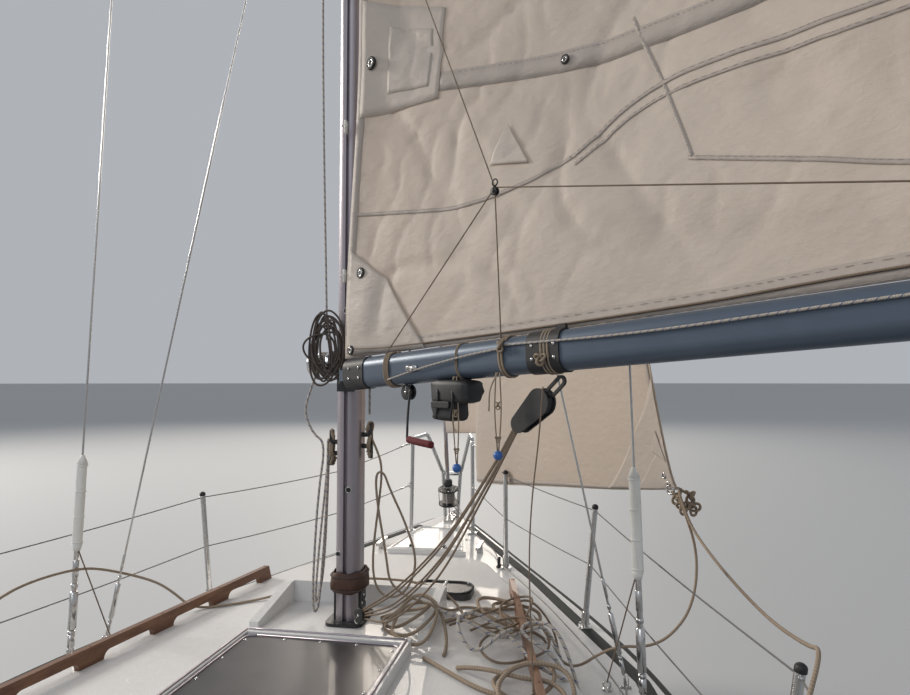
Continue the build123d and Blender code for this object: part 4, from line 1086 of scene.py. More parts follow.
class YACHT_OT_jib(bpy.types.Operator):
    """Makes the slack jib with its fold, patches and eyelets"""

    bl_idname = "yacht.jib"
    bl_label = "Jib"

    def execute(self, context):
        columns, rows = 150, 150
        points = [jib_at(c / (columns - 1), (r / (rows - 1)) ** 1.5) for r in range(rows) for c in range(columns)]
        sail = add_mesh("jib_cloth", points, grid_faces(columns, rows), "sailcloth", ROOT)
        thicken(sail, sail_thickness)
        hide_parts("jib")
        pieces = add_jib_details()
        return {"FINISHED"}


def trefoil(middle, size, turn=0.0):
    """Points of a knot: a closed trefoil."""
    cos, sin = math.cos(turn), math.sin(turn)
    line = []
    for k in range(37):
        a = math.tau * k / 36
        x, y, z = math.sin(a) + 2 * math.sin(2 * a), math.cos(a) - 2 * math.cos(2 * a), -math.sin(3 * a)
        line.append(Vector(middle) + Vector((x * cos - z * sin, x * sin + z * cos, y)) * size / 3)
    return line


def spline_path(route, resolution=8):
    """Points of the NURBS spline that a rope's chosen points control."""
    data = bpy.data.curves.new("route", "CURVE")
    data.dimensions = "3D"
    spline = data.splines.new("NURBS")
    spline.points.add(len(route) - 1)
    for point, spot in zip(spline.points, route):
        point.co = (*spot, 1)
    spline.order_u = 3
    spline.use_endpoint_u = True
    spline.resolution_u = resolution
    holder = bpy.data.objects.new("route", data)
    mesh = bpy.data.meshes.new_from_object(holder)
    line = [vertex.co.copy() for vertex in mesh.vertices]
    bpy.data.meshes.remove(mesh)
    bpy.data.objects.remove(holder)
    bpy.data.curves.remove(data)
    return line


def add_rope(name, route, diameter, finish_name, body):
    """A free rope on the spline of its chosen points."""
    path = spline_path(route)
    made = add_tubes(name, [tube_shape(path, diameter / 2, 10)], finish_name, body)


# Runs of the ropes that lie already, which the next ones cross, and how high a rope may rise off the ground
piled = []
pile_height = 0.11


def settle(route, tree, radius, slack=0.0):
    """A rope's chosen points on a surface, raised each side of a rope they cross; slack stands them in arcs."""
    line = [under(tree, x, y, radius, 1.3) for x, y in route]
    ground = [spot.z for spot in line]
    for index, (a, b) in enumerate(zip(line, line[1:])):
        for c, d in piled + list(zip(line, line[1:]))[: max(0, index - 1)]:
            crossing = geometry.intersect_line_line_2d(a.xy, b.xy, c.xy, d.xy)
            if crossing:
                share = (crossing - c.xy).length / (d.xy - c.xy).length
                over = c.z + (d.z - c.z) * share + 2.1 * radius
                a.z = max(a.z, min(over, ground[index] + pile_height))
                b.z = max(b.z, min(over, ground[index + 1] + pile_height))
    for index, spot in enumerate(line[1:-1]):
        spot.z += slack * max(0.0, noise.noise(Vector((index * 0.83, radius * 900, 1.7))))
    piled.extend(zip(line, line[1:]))
    return line


# Sheaves and holes in the mast's aft face: y, height, radius
MAST_HOLES = ((-0.013, 1.518, 0.011), (0.027, 1.276, 0.009), (0.0, 2.20, 0.012))
# Winch drums: body, foot, axis, height, radius of the waist and of the flange
DRUMS = (
    ("winch_port_drum", Vector((-2.05, 0.895, 0.951)), UP, 0.092, 0.0355, 0.037),
    ("winch_starboard_drum", Vector((-2.05, -0.895, 0.951)), UP, 0.092, 0.0355, 0.037),
    ("mast_winch_drum", Vector((0, 0.0823, 2.0)), PORT, 0.088, 0.037, 0.044),
)
# Halyards from the masthead down each side
HALYARDS = (
    ((-0.02, 0.03, 9.19), (-0.055, 0.095, 6.2), (-0.055, 0.11, 5.55), (-0.045, 0.117, 3.48), (-0.040, 0.0885, 2.09)),
    ((0.02, -0.03, 9.19), (0.045, -0.075, 6.0), (0.035, -0.066, 3.5), (0.006, -0.072, 1.80)),
)


class YACHT_OT_mast(bpy.types.Operator):
    """Adds the mast's plates, holes, foot cover and standing halyards"""

    bl_idname = "yacht.mast"
    bl_label = "Mast gear"

    def execute(self, context):
        radius = context.scene.yacht_sizes.halyard / 2
        self.add_plates()
        self.add_cover()
        self.add_winch_details()
        self.add_halyards(radius)
        self.add_cleat_turns(radius)
        return {"FINISHED"}

    def add_plates(self):
        """Plates, exit slots and holes of the mast, with black inserts as painted shade in the holes and slots, and the
        bolts of its step and cleats.
        """
        plates, dark, bolts = [], [], []
        for side in SIDES:
            for x, z in ((-0.02, 1.045), (0.02, 1.045), (-0.02, 1.085), (0.02, 1.085), (0, 1.11)):
                bolts.append(bolt((x, side * 0.0542, z), PORT * side, 10))
        for y, z, radius in MAST_HOLES:
            spot = (-0.0615 if abs(y) > 0.02 else -0.0655, y, z)
            plates.append(hoop(spot, AHEAD, radius, 0.002))
            # A black disc in each hole: painted shade inside it.
            dark.append(disc(spot, -AHEAD, radius, 0.0015, 0.0003, 18))
        for side, z in ((1, 3.30), (-1, 3.42), (1, 4.35), (-1, 4.47)):
            spot = Vector((0.012, side * 0.0478, z))
            across = AHEAD * -side
            plates.append(prism(rounded(0.016, 0.075, 0.015), spot, across, UP, 0.0022))
            # A black slot inside each plate: painted shade in its opening.
            dark.append(prism(rounded(0.008, 0.05, 0.007), spot + PORT * side * 0.0008, across, UP, 0.001))
            bolts += [bolt(spot + Vector((0, side * 0.0005, dz)), PORT * side) for dz in (-0.065, 0.065)]
        bolts += [bolt((0, 0.0482, z), PORT) for z in (1.60, 1.74)]
        merged("mast_plates", plates, "steel", ROOT)
        merged("mast_bolts", bolts, "chrome", ROOT)
        merged("mast_hole_shade", dark, "black_plastic", ROOT)

    def add_cover(self):
        """A wrinkled leather boot round the foot of the mast."""
        rows, columns = 12, 48
        points = []
        for r in range(rows):
            share = r / (rows - 1)
            for k in range(columns):
                a = math.tau * k / columns
                cos, sin = math.cos(a), math.sin(a)
                wrinkle = noise.noise(Vector((cos * 3, sin * 3, share * 4)))
                swell = 0.006 + 0.012 * math.sin(math.pi * share) + 0.004 * wrinkle
                rise = 1.13 + 0.075 * share + 0.003 * math.sin(5 * a)
                points.append(((0.066 + swell) * soft(cos, 0.7), (0.0485 + swell) * soft(sin, 0.7), rise))
        thicken(add_mesh("mast_boot", points, wrapped_faces(columns, rows), "leather_brown", ROOT), 0.003)
        ties = []
        for z in (1.142, 1.192):
            angles = [math.tau * k / 40 for k in range(41)]
            ties.append([(0.083 * soft(math.cos(a), 0.7), 0.066 * soft(math.sin(a), 0.7), z) for a in angles])
        add_lines("mast_boot_ties", ties, 0.0022, "rope_dark", ROOT, 2)

    def add_winch_details(self):
        """Ribs, top rings and sockets on the three winch drums; each socket is a black disc of painted shade."""
        for body, foot, axis, height, waist, flange in DRUMS:
            ribs = []
            for k in range(18):
                out = radial(axis, math.tau * k / 18) * waist
                low = foot + axis * height * 0.3 + out
                high = foot + axis * height * 0.62 + out * 0.97
                ribs.append(tube_shape([low, low.lerp(high, 0.5), high], 0.0016, 6))
            top = foot + axis * height
            ribs.append(hoop(top + axis * 0.0005, axis, flange - 0.004, 0.0014, 28))
            ribs.append(hoop(top + axis * 0.0005, axis, 0.014, 0.0016, 20))
            merged(body + "_ribs", ribs, "chrome", body)
            # Black disc at the top: painted shade in the handle's socket.
            socket = turned([(0.0005, -0.001), (0.0095, -0.001), (0.0095, 0.0006), (0.0005, 0.0008)], top, axis, 8)
            merged(body + "_socket", [socket], "black_plastic", body)

    def add_halyards(self, radius):
        """Halyards up the mast, and the turns on its winch."""
        angles = [k * math.pi / 10 for k in range(-6, 61)]
        coil = [(-0.041 * math.cos(a), 0.1015 + 0.0085 * a / math.tau, 2.0 + 0.041 * math.sin(a)) for a in angles]
        add_lines("halyards", HALYARDS, radius, "rope_fleck", ROOT, 10)
        add_lines("halyard_turns", [coil], radius, "rope_fleck", ROOT, 2)

    def add_cleat_turns(self, radius):
        """Figures of eight on the two mast cleats."""
        wraps = []
        for side, z in ((1, 1.67), (-1, 1.70)):
            for k in range(3):
                tilt = 0.010 * (k - 1)
                y = 0.066 + 0.004 * k
                turns = (
                    (0.014, y, -0.055 - tilt),
                    (-0.018, y + 0.006, -0.01),
                    (0.016, y + 0.010, 0.05 + tilt),
                    (-0.016, y, 0.055 + tilt),
                    (0.012, y + 0.008, 0.005),
                    (-0.014, y + 0.004, -0.055 - tilt),
                )
                wraps.append([(x, side * out, z + rise) for x, out, rise in turns])
        add_lines("cleat_turns", wraps, radius, "rope_cream", ROOT)


def round_boom(distance, radius, turns=1.0, pitch=0.008, start=0.0):
    """A rope's turns round the boom at a distance along it."""
    half_y, half_z = boom_breadth / 2 + radius, boom_height / 2 + radius
    line = []
    for k in range(round(28 * turns) + 1):
        a = start + math.tau * k / 28
        y, z = half_y * soft(math.sin(a), 0.85), half_z * soft(math.cos(a), 0.85)
        line.append(on_boom(distance + pitch * k / 28, y, z))
    return line


def below_boom(distance, height, port=0.0):
    """Point at a distance along the boom's heading, at a height over the water."""
    spot = boom_hinge + boom_heading * distance + boom_port * port
    return Vector((spot.x, spot.y, height))


def pillow(middle, across, up, out, half, seed, columns=22, rows=16, squareness=0.4):
    """Points and faces of a soft, creased bag about a middle."""
    points = []
    for r in range(rows + 1):
        v = -math.pi / 2 + math.pi * r / rows
        for k in range(columns):
            u = math.tau * k / columns
            round_spot = (math.cos(v) * math.cos(u), math.sin(v), math.cos(v) * math.sin(u))
            x, y, z = (soft(c, squareness) for c in round_spot)
            crease = 1 + 0.10 * noise.noise(Vector((x * 1.6 + seed, y * 1.9, z * 1.6)))
            crease += 0.04 * noise.noise(Vector((x * 5 + seed, y * 5, z * 5)))
            points.append(middle + (across * x * half[0] + up * y * half[1] + out * z * half[2]) * crease)
    return points, wrapped_faces(columns, rows + 1)


def block_shapes(middle, axis, down, radius, width):
    """A small block: two cheeks with a sheave, and its bolts, strap and eye."""
    axis, down = Vector(axis).normalized(), Vector(down).normalized()
    cheek = [(0.001, 0), (radius, 0), (radius, width * 0.15), (radius * 0.8, width * 0.22), (0.001, width * 0.24)]
    cheeks, metal = [], []
    for side in SIDES:
        foot = middle + axis * side * width / 2
        cheeks.append(turned(cheek, foot, axis * side, 18))
        metal.append(bolt(foot + axis * side * width * 0.22, axis * side))
    sheave = [(radius * 0.75, -width / 2), (radius * 0.62, 0), (radius * 0.75, width / 2)]
    cheeks.append(turned(sheave, middle, axis, 18))
    strap = [
        middle + axis * width * out + down * radius * fall
        for out, fall in ((0.62, 0.3), (0.62, -0.7), (0, -1.35), (-0.62, -0.7), (-0.62, 0.3))
    ]
    metal.append(tube_shape(smooth_path(strap, 6), 0.0025, 6))
    metal.append(hoop(middle - down * (radius * 1.35 + 0.010), axis, 0.010, 0.0022, 16))
    return cheeks, metal


# Bag under the boom: distance, height, distance to port, half sizes, seed of its creases
BAG = (
    (0.628, 1.898, 0.008, (0.086, 0.036, 0.045), 3.1),
    (0.605, 1.846, 0.012, (0.056, 0.038, 0.036), 8.4),
)
# Lashings round the boom: distance, share of the rope's radius, turns, pitch, first angle
LASHINGS = (
    (0.305, 1.0, 3, 0.010, 0.0),
    (0.835, 1.0, 2, 0.010, 0.8),
    (0.985, 1.1, 3, 0.011, 0.0),
    (2.45, 1.0, 2, 0.009, 0.0),
)
# Reef line and outhaul: distance, to port and up in the boom's frame
REEF_LINES = (
    ((0.33, 0.043, -0.035), (0.5, 0.047, -0.01), (0.7, 0.046, 0.012), (0.845, 0.042, 0.022)),
    ((0.86, 0.042, 0.03), (1.3, 0.044, 0.018), (1.9, 0.044, 0.024), (2.54, 0.046, 0.006)),
)
# Sail stops: distance of the top, distance and height of the ball
SAIL_STOPS = ((0.655, 0.678, 1.672), (0.83, 0.843, 1.722))
# Vang tackle between its upper block and the mast's foot
VANG_HEAD, VANG_FOOT = Vector((-0.592, -0.697, 1.797)), Vector((-0.115, -0.085, 1.075))
VANG_MIDDLE = (((-0.535, -0.605, 1.640), 0.7), ((-0.425, -0.450, 1.400), 1.25), ((-0.285, -0.262, 1.200), 1.1))


class YACHT_OT_boom(bpy.types.Operator):
    """Adds the boom's fittings, reef line, sail stops, bag and lazyjacks"""

    bl_idname = "yacht.boom"
    bl_label = "Boom gear"

    def execute(self, context):
        sizes = context.scene.yacht_sizes
        self.add_fittings()
        self.add_bag()
        self.add_reef_lines(sizes.halyard / 2 * 0.8)
        self.add_stops(sizes.thin_line / 2)
        self.add_lazyjacks(sizes.thin_line / 2)
        self.add_vang_tackle()
        return {"FINISHED"}

    def add_fittings(self):
        """Bolts of the bands, eye plates and blocks of the boom."""
        metal, black = [], []
        for distance in (0.10, 0.16, 0.955, 1.03, 2.72):
            for side in SIDES:
                for up in (-0.018, 0.018):
                    spot = on_boom(distance, side * (boom_breadth / 2 + 0.0035), up)
                    metal.append(bolt(spot, boom_port * side, 10))
        for distance, side in ((2.55, 1), (0.45, 1), (1.7, -1), (2.2, 1)):
            spot = on_boom(distance, side * (boom_breadth / 2 + 0.001), -0.005)
            metal.append(prism(rounded(0.028, 0.009, 0.008), spot, boom_dir * -side, boom_up, 0.003))
            metal.append(hoop(spot + boom_port * side * 0.008, boom_dir, 0.009, 0.0026, 16))
        for spot, down, width in ((below_boom(0.39, 1.893), -UP, 0.018), (on_boom(2.66, 0.0, -0.085), -boom_up, 0.020)):
            cheeks, straps = block_shapes(spot, boom_port, down, 0.026, width)
            black += cheeks
            metal += straps
        merged("boom_metal", metal, "steel", BOOM)
        merged("boom_blocks", black, "black_plastic", BOOM)

    def add_bag(self):
        """The bag under the boom with its ties and plate, and the rod and grip beside it."""
        axes = (boom_heading, UP, boom_port)
        bag = [pillow(below_boom(x, z, port), *axes, half, seed) for x, z, port, half, seed in BAG]
        merged("boom_bag", bag, "black_plastic", BOOM)
        ties = [
            [below_boom(x, 1.932, 0.040), below_boom(x + 0.02, 1.875, 0.056), below_boom(x, 1.815, 0.045)]
            for x in (0.575, 0.64)
        ]
        add_lines("boom_bag_ties", ties, 0.003, "black_alloy", BOOM)
        plate = prism(rounded(0.040, 0.010, 0.005), below_boom(0.605, 1.858, 0.048), -boom_heading, UP, 0.010)
        soften(merged("boom_bag_plate", [plate], "black_alloy", BOOM, smooth=False), 0.002)
        rod = [below_boom(0.433, 1.905, 0.030), below_boom(0.434, 1.82, 0.040), below_boom(0.436, 1.745, 0.045)]
        add_lines("boom_rod", [rod], 0.004, "black_alloy", BOOM)
        grip = [below_boom(0.445, 1.742, 0.045), below_boom(0.50, 1.737, 0.048), below_boom(0.555, 1.732, 0.045)]
        add_lines("boom_grip", [grip], 0.0115, "webbing_red", BOOM, 8, 16)

    def add_reef_lines(self, radius):
        """Lashings, reef line and outhaul along the boom."""
        wraps = [round_boom(x, radius * share, turns, pitch, start) for x, share, turns, pitch, start in LASHINGS]
        add_lines("boom_lashings", wraps, radius, "rope_cream", BOOM, 1)
        lines = [[on_boom(*spot) for spot in route] for route in REEF_LINES]
        add_lines("reef_lines", lines, 0.0032, "rope_fleck", BOOM)
        knots = [trefoil(on_boom(0.848, 0.048, 0.028), 0.016, 0.4), trefoil(on_boom(0.99, 0.05, -0.02), 0.017, 1.2)]
        add_lines("boom_knots", knots, 0.0036, "rope_cream", BOOM, 1)

    def add_stops(self, radius):
        """Elastic sail stops that hang in loops, each with a ball."""
        loops, balls, turns = [], [], []
        for top, ball_at, height in SAIL_STOPS:
            hang = below_boom(ball_at, height + 0.014, 0.055)
            start = on_boom(top, 0.042, -0.045)
            for sway in (-0.012, 0.012):
                middle = start.lerp(hang, 0.5) + boom_heading * sway
                loops.append([start + boom_heading * sway * 0.6, middle, hang + boom_heading * sway * 0.2])
            loops.append(trefoil(start.lerp(hang, 0.42), 0.012, 0.3))
            loops.append(trefoil(start.lerp(hang, 0.85), 0.009, 1.3))
            loops.append([start, start - boom_heading * 0.03 - UP * 0.05, start - boom_heading * 0.035 - UP * 0.11])
            balls.append(turned(BALL, hang - UP * 0.026))
            turns.append(round_boom(top, radius, 2.0, 0.006))
        add_lines("sail_stops", loops + turns, radius, "rope_cream", BOOM, 5)
        merged("stop_balls", balls, "blue_plastic", BOOM)

    def add_lazyjacks(self, radius):
        """Lazyjacks each side of the sail, from the mast to the boom."""
        port_knot = Vector((-0.587, -0.66, 2.488)) + boom_port * 0.035
        starboard_knot = below_boom(0.78, 2.488, -0.34)
        for side, name, knot, out in ((1, "port", port_knot, 0.055), (-1, "starboard", starboard_knot, -0.30)):
            top = Vector((-0.03, side * 0.051, 4.40))
            aft = below_boom(2.05, 2.234, out)
            legs = [
                [top, top.lerp(knot, 0.5) + UP * 0.004, knot],
                [knot, on_boom(0.321, 0.042 * side, 0.050)],
                [knot, on_boom(0.848, 0.042 * side, 0.050)],
                [knot, aft],
                [aft, on_boom(2.45, 0.042 * side, 0.045)],
                [aft, on_boom(1.98, 0.042 * side, 0.050)],
            ]
            self.bend(add_lines(f"lazyjack_{name}", legs, radius, "rope_brown", ROOT, 12, 6), top, knot)
            cheeks, straps = block_shapes(knot - UP * 0.012, boom_port, -UP, 0.012, 0.010)
            merged(f"lazyjack_block_{name}", cheeks + straps, "black_plastic", BOOM)

    def bend(self, made, start, end):
        """Takes a line off its body and bakes its place into its points."""
        made.parent = None
        if "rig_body" in made:
            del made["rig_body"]
        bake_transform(made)

    def add_vang_tackle(self):
        """Five slack parts of the vang tackle, from its block to the mast's foot."""
        routes = []
        for k in range(5):
            fan = k - 2.0
            spread = UP * (0.029 * fan - 0.014 + 0.010 * (k % 2)) + boom_heading * 0.010 * fan
            middle = [Vector(spot) + spread * share for spot, share in VANG_MIDDLE]
            routes.append([VANG_HEAD + UP * 0.006 * fan, *middle, VANG_FOOT + UP * 0.007 * fan])
        self.bend(add_lines("vang_tackle", routes, 0.0034, "rope_brown", ROOT, 14), VANG_FOOT, VANG_HEAD)
        cheeks, straps = block_shapes(VANG_FOOT, boom_port, VANG_HEAD - VANG_FOOT, 0.027, 0.022)
        merged("vang_low_block", cheeks, "black_plastic", ROOT)
        merged("vang_low_strap", straps, "steel", ROOT)
        shackle = [VANG_FOOT + Vector((0.022, 0.016, -0.018)), (-0.088, -0.062, 1.045), (-0.075, -0.050, 1.03)]
        add_lines("vang_shackle", [shackle], 0.003, "steel", ROOT)


# Halyard tail that hangs in long loops at the mast's port side
PORT_TAIL = (
    (0.012, 0.150, 1.962), (0.0, 0.185, 1.86), (0.0, 0.193, 1.795), (-0.012, 0.150, 1.72), (-0.020, 0.098, 1.69),
    (-0.055, 0.112, 1.50), (-0.062, 0.124, 1.25), (-0.062, 0.128, 1.055), (-0.022, 0.120, 1.045),
    (-0.018, 0.108, 1.20), (-0.012, 0.094, 1.45), (-0.004, 0.094, 1.64), (-0.002, 0.096, 1.700),
    (0.030, 0.102, 1.700), (0.030, 0.112, 1.55), (0.004, 0.128, 1.30), (-0.010, 0.138, 1.10),
    (0.020, 0.148, 1.055), (0.050, 0.130, 1.14), (0.040, 0.112, 1.40), (0.022, 0.100, 1.62),
)
# The one at its starboard side, and where it lies on the coachroof
STARBOARD_TAIL = (
    (0.0, -0.078, 1.717), (-0.006, -0.110, 1.66), (0.0, -0.128, 1.586), (0.002, -0.108, 1.42),
    (0.006, -0.088, 1.27), (0.0, -0.094, 1.16), (-0.004, -0.135, 1.105), (-0.004, -0.205, 1.112),
    (0.0, -0.252, 1.18), (0.0, -0.262, 1.27), (-0.002, -0.215, 1.40), (-0.006, -0.156, 1.52),
    (-0.010, -0.136, 1.582), (-0.018, -0.104, 1.578), (-0.024, -0.114, 1.46), (-0.028, -0.150, 1.28),
    (-0.032, -0.170, 1.14),
)
STARBOARD_REST = ((-0.04, -0.20), (-0.05, -0.27), (0.02, -0.34), (0.16, -0.37), (0.243, -0.40), (0.23, -0.50))
# Lazy sheet: clew to the coachroof, past the mast, and from the roof to the port winch
LAZY_CLEW = (
    (0.150, -1.240, 1.500), (0.118, -1.262, 1.44), (0.104, -1.299, 1.309), (0.05, -1.285, 1.18),
    (0.0, -1.235, 1.08), (-0.04, -1.13, 1.0), (-0.02, -0.98, 0.99),
)
LAZY_ROOF = ((0.03, -0.83), (0.036, -0.745), (0.01, -0.60), (0.0, -0.47))
LAZY_MAST = ((0.235, -0.345, 1.06), (0.262, -0.20, 1.09), (0.262, 0.0, 1.095), (0.250, 0.20, 1.08))
LAZY_PORT_ROOF = ((0.20, 0.42), (0.10, 0.56), (0.06, 0.70))
LAZY_AFT = (
    (0.055, 0.80, 1.065), (0.063, 0.90, 1.10), (-0.06, 1.02, 1.17), (-0.165, 1.052, 1.20), (-0.35, 1.085, 1.205),
    (-0.48, 1.10, 1.185), (-0.80, 1.095, 1.09), (-1.20, 1.06, 0.965), (-1.60, 1.0, 0.955), (-1.85, 0.955, 0.975),
    (-2.0, 0.935, 0.985),
)
# Working sheet from the clew to the starboard winch
WORKING_SHEET = (
    (0.150, -1.245, 1.515), (0.10, -1.262, 1.43), (0.0, -1.296, 1.36), (-0.25, -1.335, 1.31),
    (-0.55, -1.372, 1.285), (-0.82, -1.385, 1.32), (-0.93, -1.372, 1.362), (-1.02, -1.33, 1.33),
    (-1.08, -1.22, 1.05), (-1.12, -1.10, 0.875), (-1.45, -1.04, 0.915), (-1.80, -0.97, 0.97), (-2.0, -0.935, 0.978),
)
# A sheet's tail over the port coaming to the seat
SHEET_LEAD = (
    (-2.100, 0.85, 1.008), (-2.132, 0.80, 0.985), (-2.185, 0.745, 0.86), (-2.205, 0.69, 0.68),
    (-2.165, 0.61, 0.580), (-2.04, 0.575, 0.567),
)
# Thin line from the boom to the coachroof: distance, height, distance to port
STOP_TAIL = (
    (0.994, 1.915, 0.044), (0.985, 1.80, 0.046), (0.955, 1.62, 0.046), (0.942, 1.45, 0.044), (0.955, 1.25, 0.05),
    (0.965, 1.12, 0.055),
)
# Ropes in the pile: name, finish, diameter, and where they lie
PILE = (
    ("pile_rope_mast", "rope_cream", 0.012, (
        (0.02, -0.12), (0.10, -0.17), (0.13, -0.27), (0.06, -0.33), (-0.05, -0.30), (-0.10, -0.20), (-0.04, -0.13),
        (0.06, -0.16), (0.10, -0.25), (0.02, -0.34), (-0.10, -0.36), (-0.18, -0.28), (-0.14, -0.17), (-0.03, -0.16),
        (0.03, -0.24), (-0.02, -0.33), (-0.13, -0.38), (-0.24, -0.34), (-0.24, -0.24), (-0.13, -0.20),
        (-0.04, -0.25), (-0.06, -0.36), (-0.16, -0.42), (-0.26, -0.42),
    )),
    ("pile_rope_fore", "rope_cream", 0.014, (
        (0.03, -0.36), (0.14, -0.44), (0.26, -0.56), (0.305, -0.68), (0.27, -0.76), (0.18, -0.74), (0.13, -0.64),
        (0.17, -0.54), (0.27, -0.52), (0.31, -0.60), (0.24, -0.72), (0.12, -0.72), (0.06, -0.62), (0.10, -0.50),
        (0.20, -0.46), (0.28, -0.50), (0.22, -0.64), (0.08, -0.70), (-0.03, -0.62), (-0.02, -0.50), (0.08, -0.44),
        (0.16, -0.52), (0.10, -0.62), (0.0, -0.66),
    )),
    ("pile_rope_thin", "rope_brown", 0.009, (
        (-0.05, -0.40), (0.05, -0.52), (0.18, -0.60), (0.24, -0.68), (0.18, -0.78), (0.06, -0.80), (-0.04, -0.74),
        (-0.02, -0.62), (0.10, -0.56), (0.22, -0.58), (0.27, -0.66), (0.16, -0.70), (0.02, -0.66), (-0.12, -0.56),
        (-0.20, -0.52), (-0.28, -0.60), (-0.22, -0.72), (-0.10, -0.78), (0.02, -0.72), (0.04, -0.58), (-0.06, -0.48),
    )),
    ("pile_rope_middle", "rope_fleck", 0.012, (
        (-0.08, -0.36), (-0.16, -0.48), (-0.20, -0.60), (-0.12, -0.68), (-0.02, -0.76), (-0.06, -0.84),
        (-0.16, -0.86), (-0.24, -0.80), (-0.22, -0.70), (-0.10, -0.66), (-0.02, -0.70), (-0.08, -0.80),
        (-0.20, -0.88), (-0.30, -0.84), (-0.32, -0.74), (-0.22, -0.66), (-0.12, -0.60), (-0.10, -0.50),
        (-0.20, -0.44), (-0.28, -0.52), (-0.24, -0.62), (-0.14, -0.64),
    )),
    ("pile_rope_aft", "rope_cream", 0.014, (
        (-0.30, -0.36), (-0.38, -0.46), (-0.46, -0.56), (-0.50, -0.68), (-0.46, -0.78), (-0.36, -0.80),
        (-0.30, -0.72), (-0.34, -0.62), (-0.44, -0.60), (-0.54, -0.66), (-0.56, -0.78), (-0.48, -0.86),
        (-0.38, -0.84), (-0.36, -0.74), (-0.42, -0.66), (-0.52, -0.62), (-0.60, -0.68), (-0.60, -0.80),
        (-0.50, -0.84), (-0.42, -0.78), (-0.46, -0.70), (-0.40, -0.56), (-0.34, -0.48),
    )),
)
# Knots of the two sheets at the clew
CLEW_KNOTS = (
    ("clew_knot_inner", ((0.168, -1.238, 1.488), (0.160, -1.262, 1.452))),
    ("clew_knot_outer", ((0.172, -1.290, 1.492), (0.165, -1.300, 1.448))),
)
SHEET_WINCH = Vector((-2.05, 0.895, 0.974))


class YACHT_OT_ropes(bpy.types.Operator):
    """Lays the free ropes: jib sheets, halyard tails and the pile on the coachroof"""

    bl_idname = "yacht.ropes"
    bl_label = "Free ropes"

    def execute(self, context):
        sizes = context.scene.yacht_sizes
        self.roof = skin("coachroof", "mast_well", "deck", "hatch_rails", "deck_light")
        self.add_tails(sizes.halyard)
        for name, finish_name, diameter, route in PILE:
            line = settle(route, self.roof, diameter / 2, slack=0.045)
            add_rope(name, line, diameter, finish_name, ROOT)
        self.add_sheets(sizes.rope)
        self.add_stop_tail(sizes.thin_line)
        return {"FINISHED"}

    def add_tails(self, diameter):
        """Halyard tails that hang from the mast's cleats, and the coil on its winch."""
        add_rope("halyard_tail_port", PORT_TAIL, diameter, "rope_fleck", ROOT)
        coil = [(-0.046, 0.130, 2.0), (-0.056, 0.120, 2.06)]
        for k in range(12 * 12):
            turn = math.tau * k / 12 + 1.3
            wide = 0.066 + 0.045 * noise.noise(Vector((k * 0.11, 1.5, 0)))
            tall = 0.106 + 0.075 * noise.noise(Vector((k * 0.09, 7.5, 0)))
            y = 0.082 + wide * math.cos(turn) + 0.022 * math.sin(k * 0.17)
            z = 2.055 - 0.035 * noise.noise(Vector((k * 0.07, 3.3, 0))) + tall * math.sin(turn)
            depth = -0.058 - 0.020 * noise.noise(Vector((k * 0.21, 9.1, 0))) - (0.018 if y < 0.06 else 0.0)
            coil.append((max(-0.093, min(-0.054, depth)), max(0.004, y), z))
        add_rope("halyard_coil", coil, 0.008, "rope_dark", ROOT)
        rest = settle(STARBOARD_REST, self.roof, diameter / 2)
        tail = [*STARBOARD_TAIL, *rest[2:]]
        add_rope("halyard_tail_starboard", tail, diameter, "rope_cream", ROOT)

    def add_sheets(self, diameter):
        """The lazy sheet over the coachroof and the working sheet, each to its winch."""
        lift = diameter / 2 + 0.001
        roof = lay(self.roof, LAZY_ROOF, lift + 0.012)
        port_roof = lay(self.roof, LAZY_PORT_ROOF, lift)
        lazy = [*LAZY_CLEW, *roof, *LAZY_MAST, *port_roof, *LAZY_AFT, *self.winch_turns(1, 2), *self.coiled_tail(1)]
        working = [*WORKING_SHEET, *self.winch_turns(-1, 3), *self.coiled_tail(-1)]
        inner, outer = self.add_knots()
        for name, route, knot in (("lazy_sheet", lazy, inner), ("working_sheet", working, outer)):
            add_rope(name, route, diameter, "rope_cream", ROOT)

    def winch_turns(self, side, count):
        """Points of a sheet's turns round its winch, on at the front and off at the back."""
        steps = count * 15 + 5
        points = []
        for k in range(steps + 1):
            a = (math.tau * count + math.pi - 1.0) * k / steps
            out = Vector((math.cos(a + 1.0), math.sin(a + 1.0), 0)) * 0.042
            spot = SHEET_WINCH + out + UP * 0.0105 * a / math.tau
            points.append((spot.x, side * spot.y, spot.z))
        return points

    def coiled_tail(self, side):
        """Points of a sheet's tail: over the coaming, then a neat coil on the front seat."""
        points = [(x, side * y, z) for x, y, z in SHEET_LEAD]
        for k in range(4 * 12):
            a = math.pi * 0.5 - math.tau * k / 12
            reach = 0.128 - 0.0017 * (k % 24) + 0.004 * math.sin(k * 0.9)
            rise = 0.5645 + 0.0095 * (k // 12) + 0.0008 * (k % 12)
            points.append((-1.86 + reach * math.cos(a), side * (0.455 + reach * 0.92 * math.sin(a)), rise))
        return points

    def add_knots(self):
        """Bowlines of the two sheets at the jib's clew."""
        made = []
        for name, spots in CLEW_KNOTS:
            routes = [trefoil(spot, 0.026, 0.5 + k) for k, spot in enumerate(spots)]
            routes.append([(0.170, -1.240, 1.523), (0.178, -1.262, 1.512), *spots])
            made.append(add_lines(name, routes, 0.0052, "rope_cream", ROOT, 3))
        return made

    def add_stop_tail(self, diameter):
        """A thin line with a knot, which hangs from the boom to the coachroof."""
        route = [below_boom(*spot) for spot in STOP_TAIL]
        knot = add_lines("stop_tail_knot", [trefoil(route[-1], 0.008)], 0.002, "rope_brown", BOOM, 1, 6)
        add_rope("stop_tail", route, diameter, "rope_brown", BOOM)


# Stanchions: x, half breadth at the deck, how far the top leans out
STANCHIONS = ((1.2, 0.48, 0.0), (0.53, 0.895, 0.05), (-0.9, 1.255, 0.085), (-2.5, 1.2, 0.06))
STANCHION_HEIGHT = 0.52
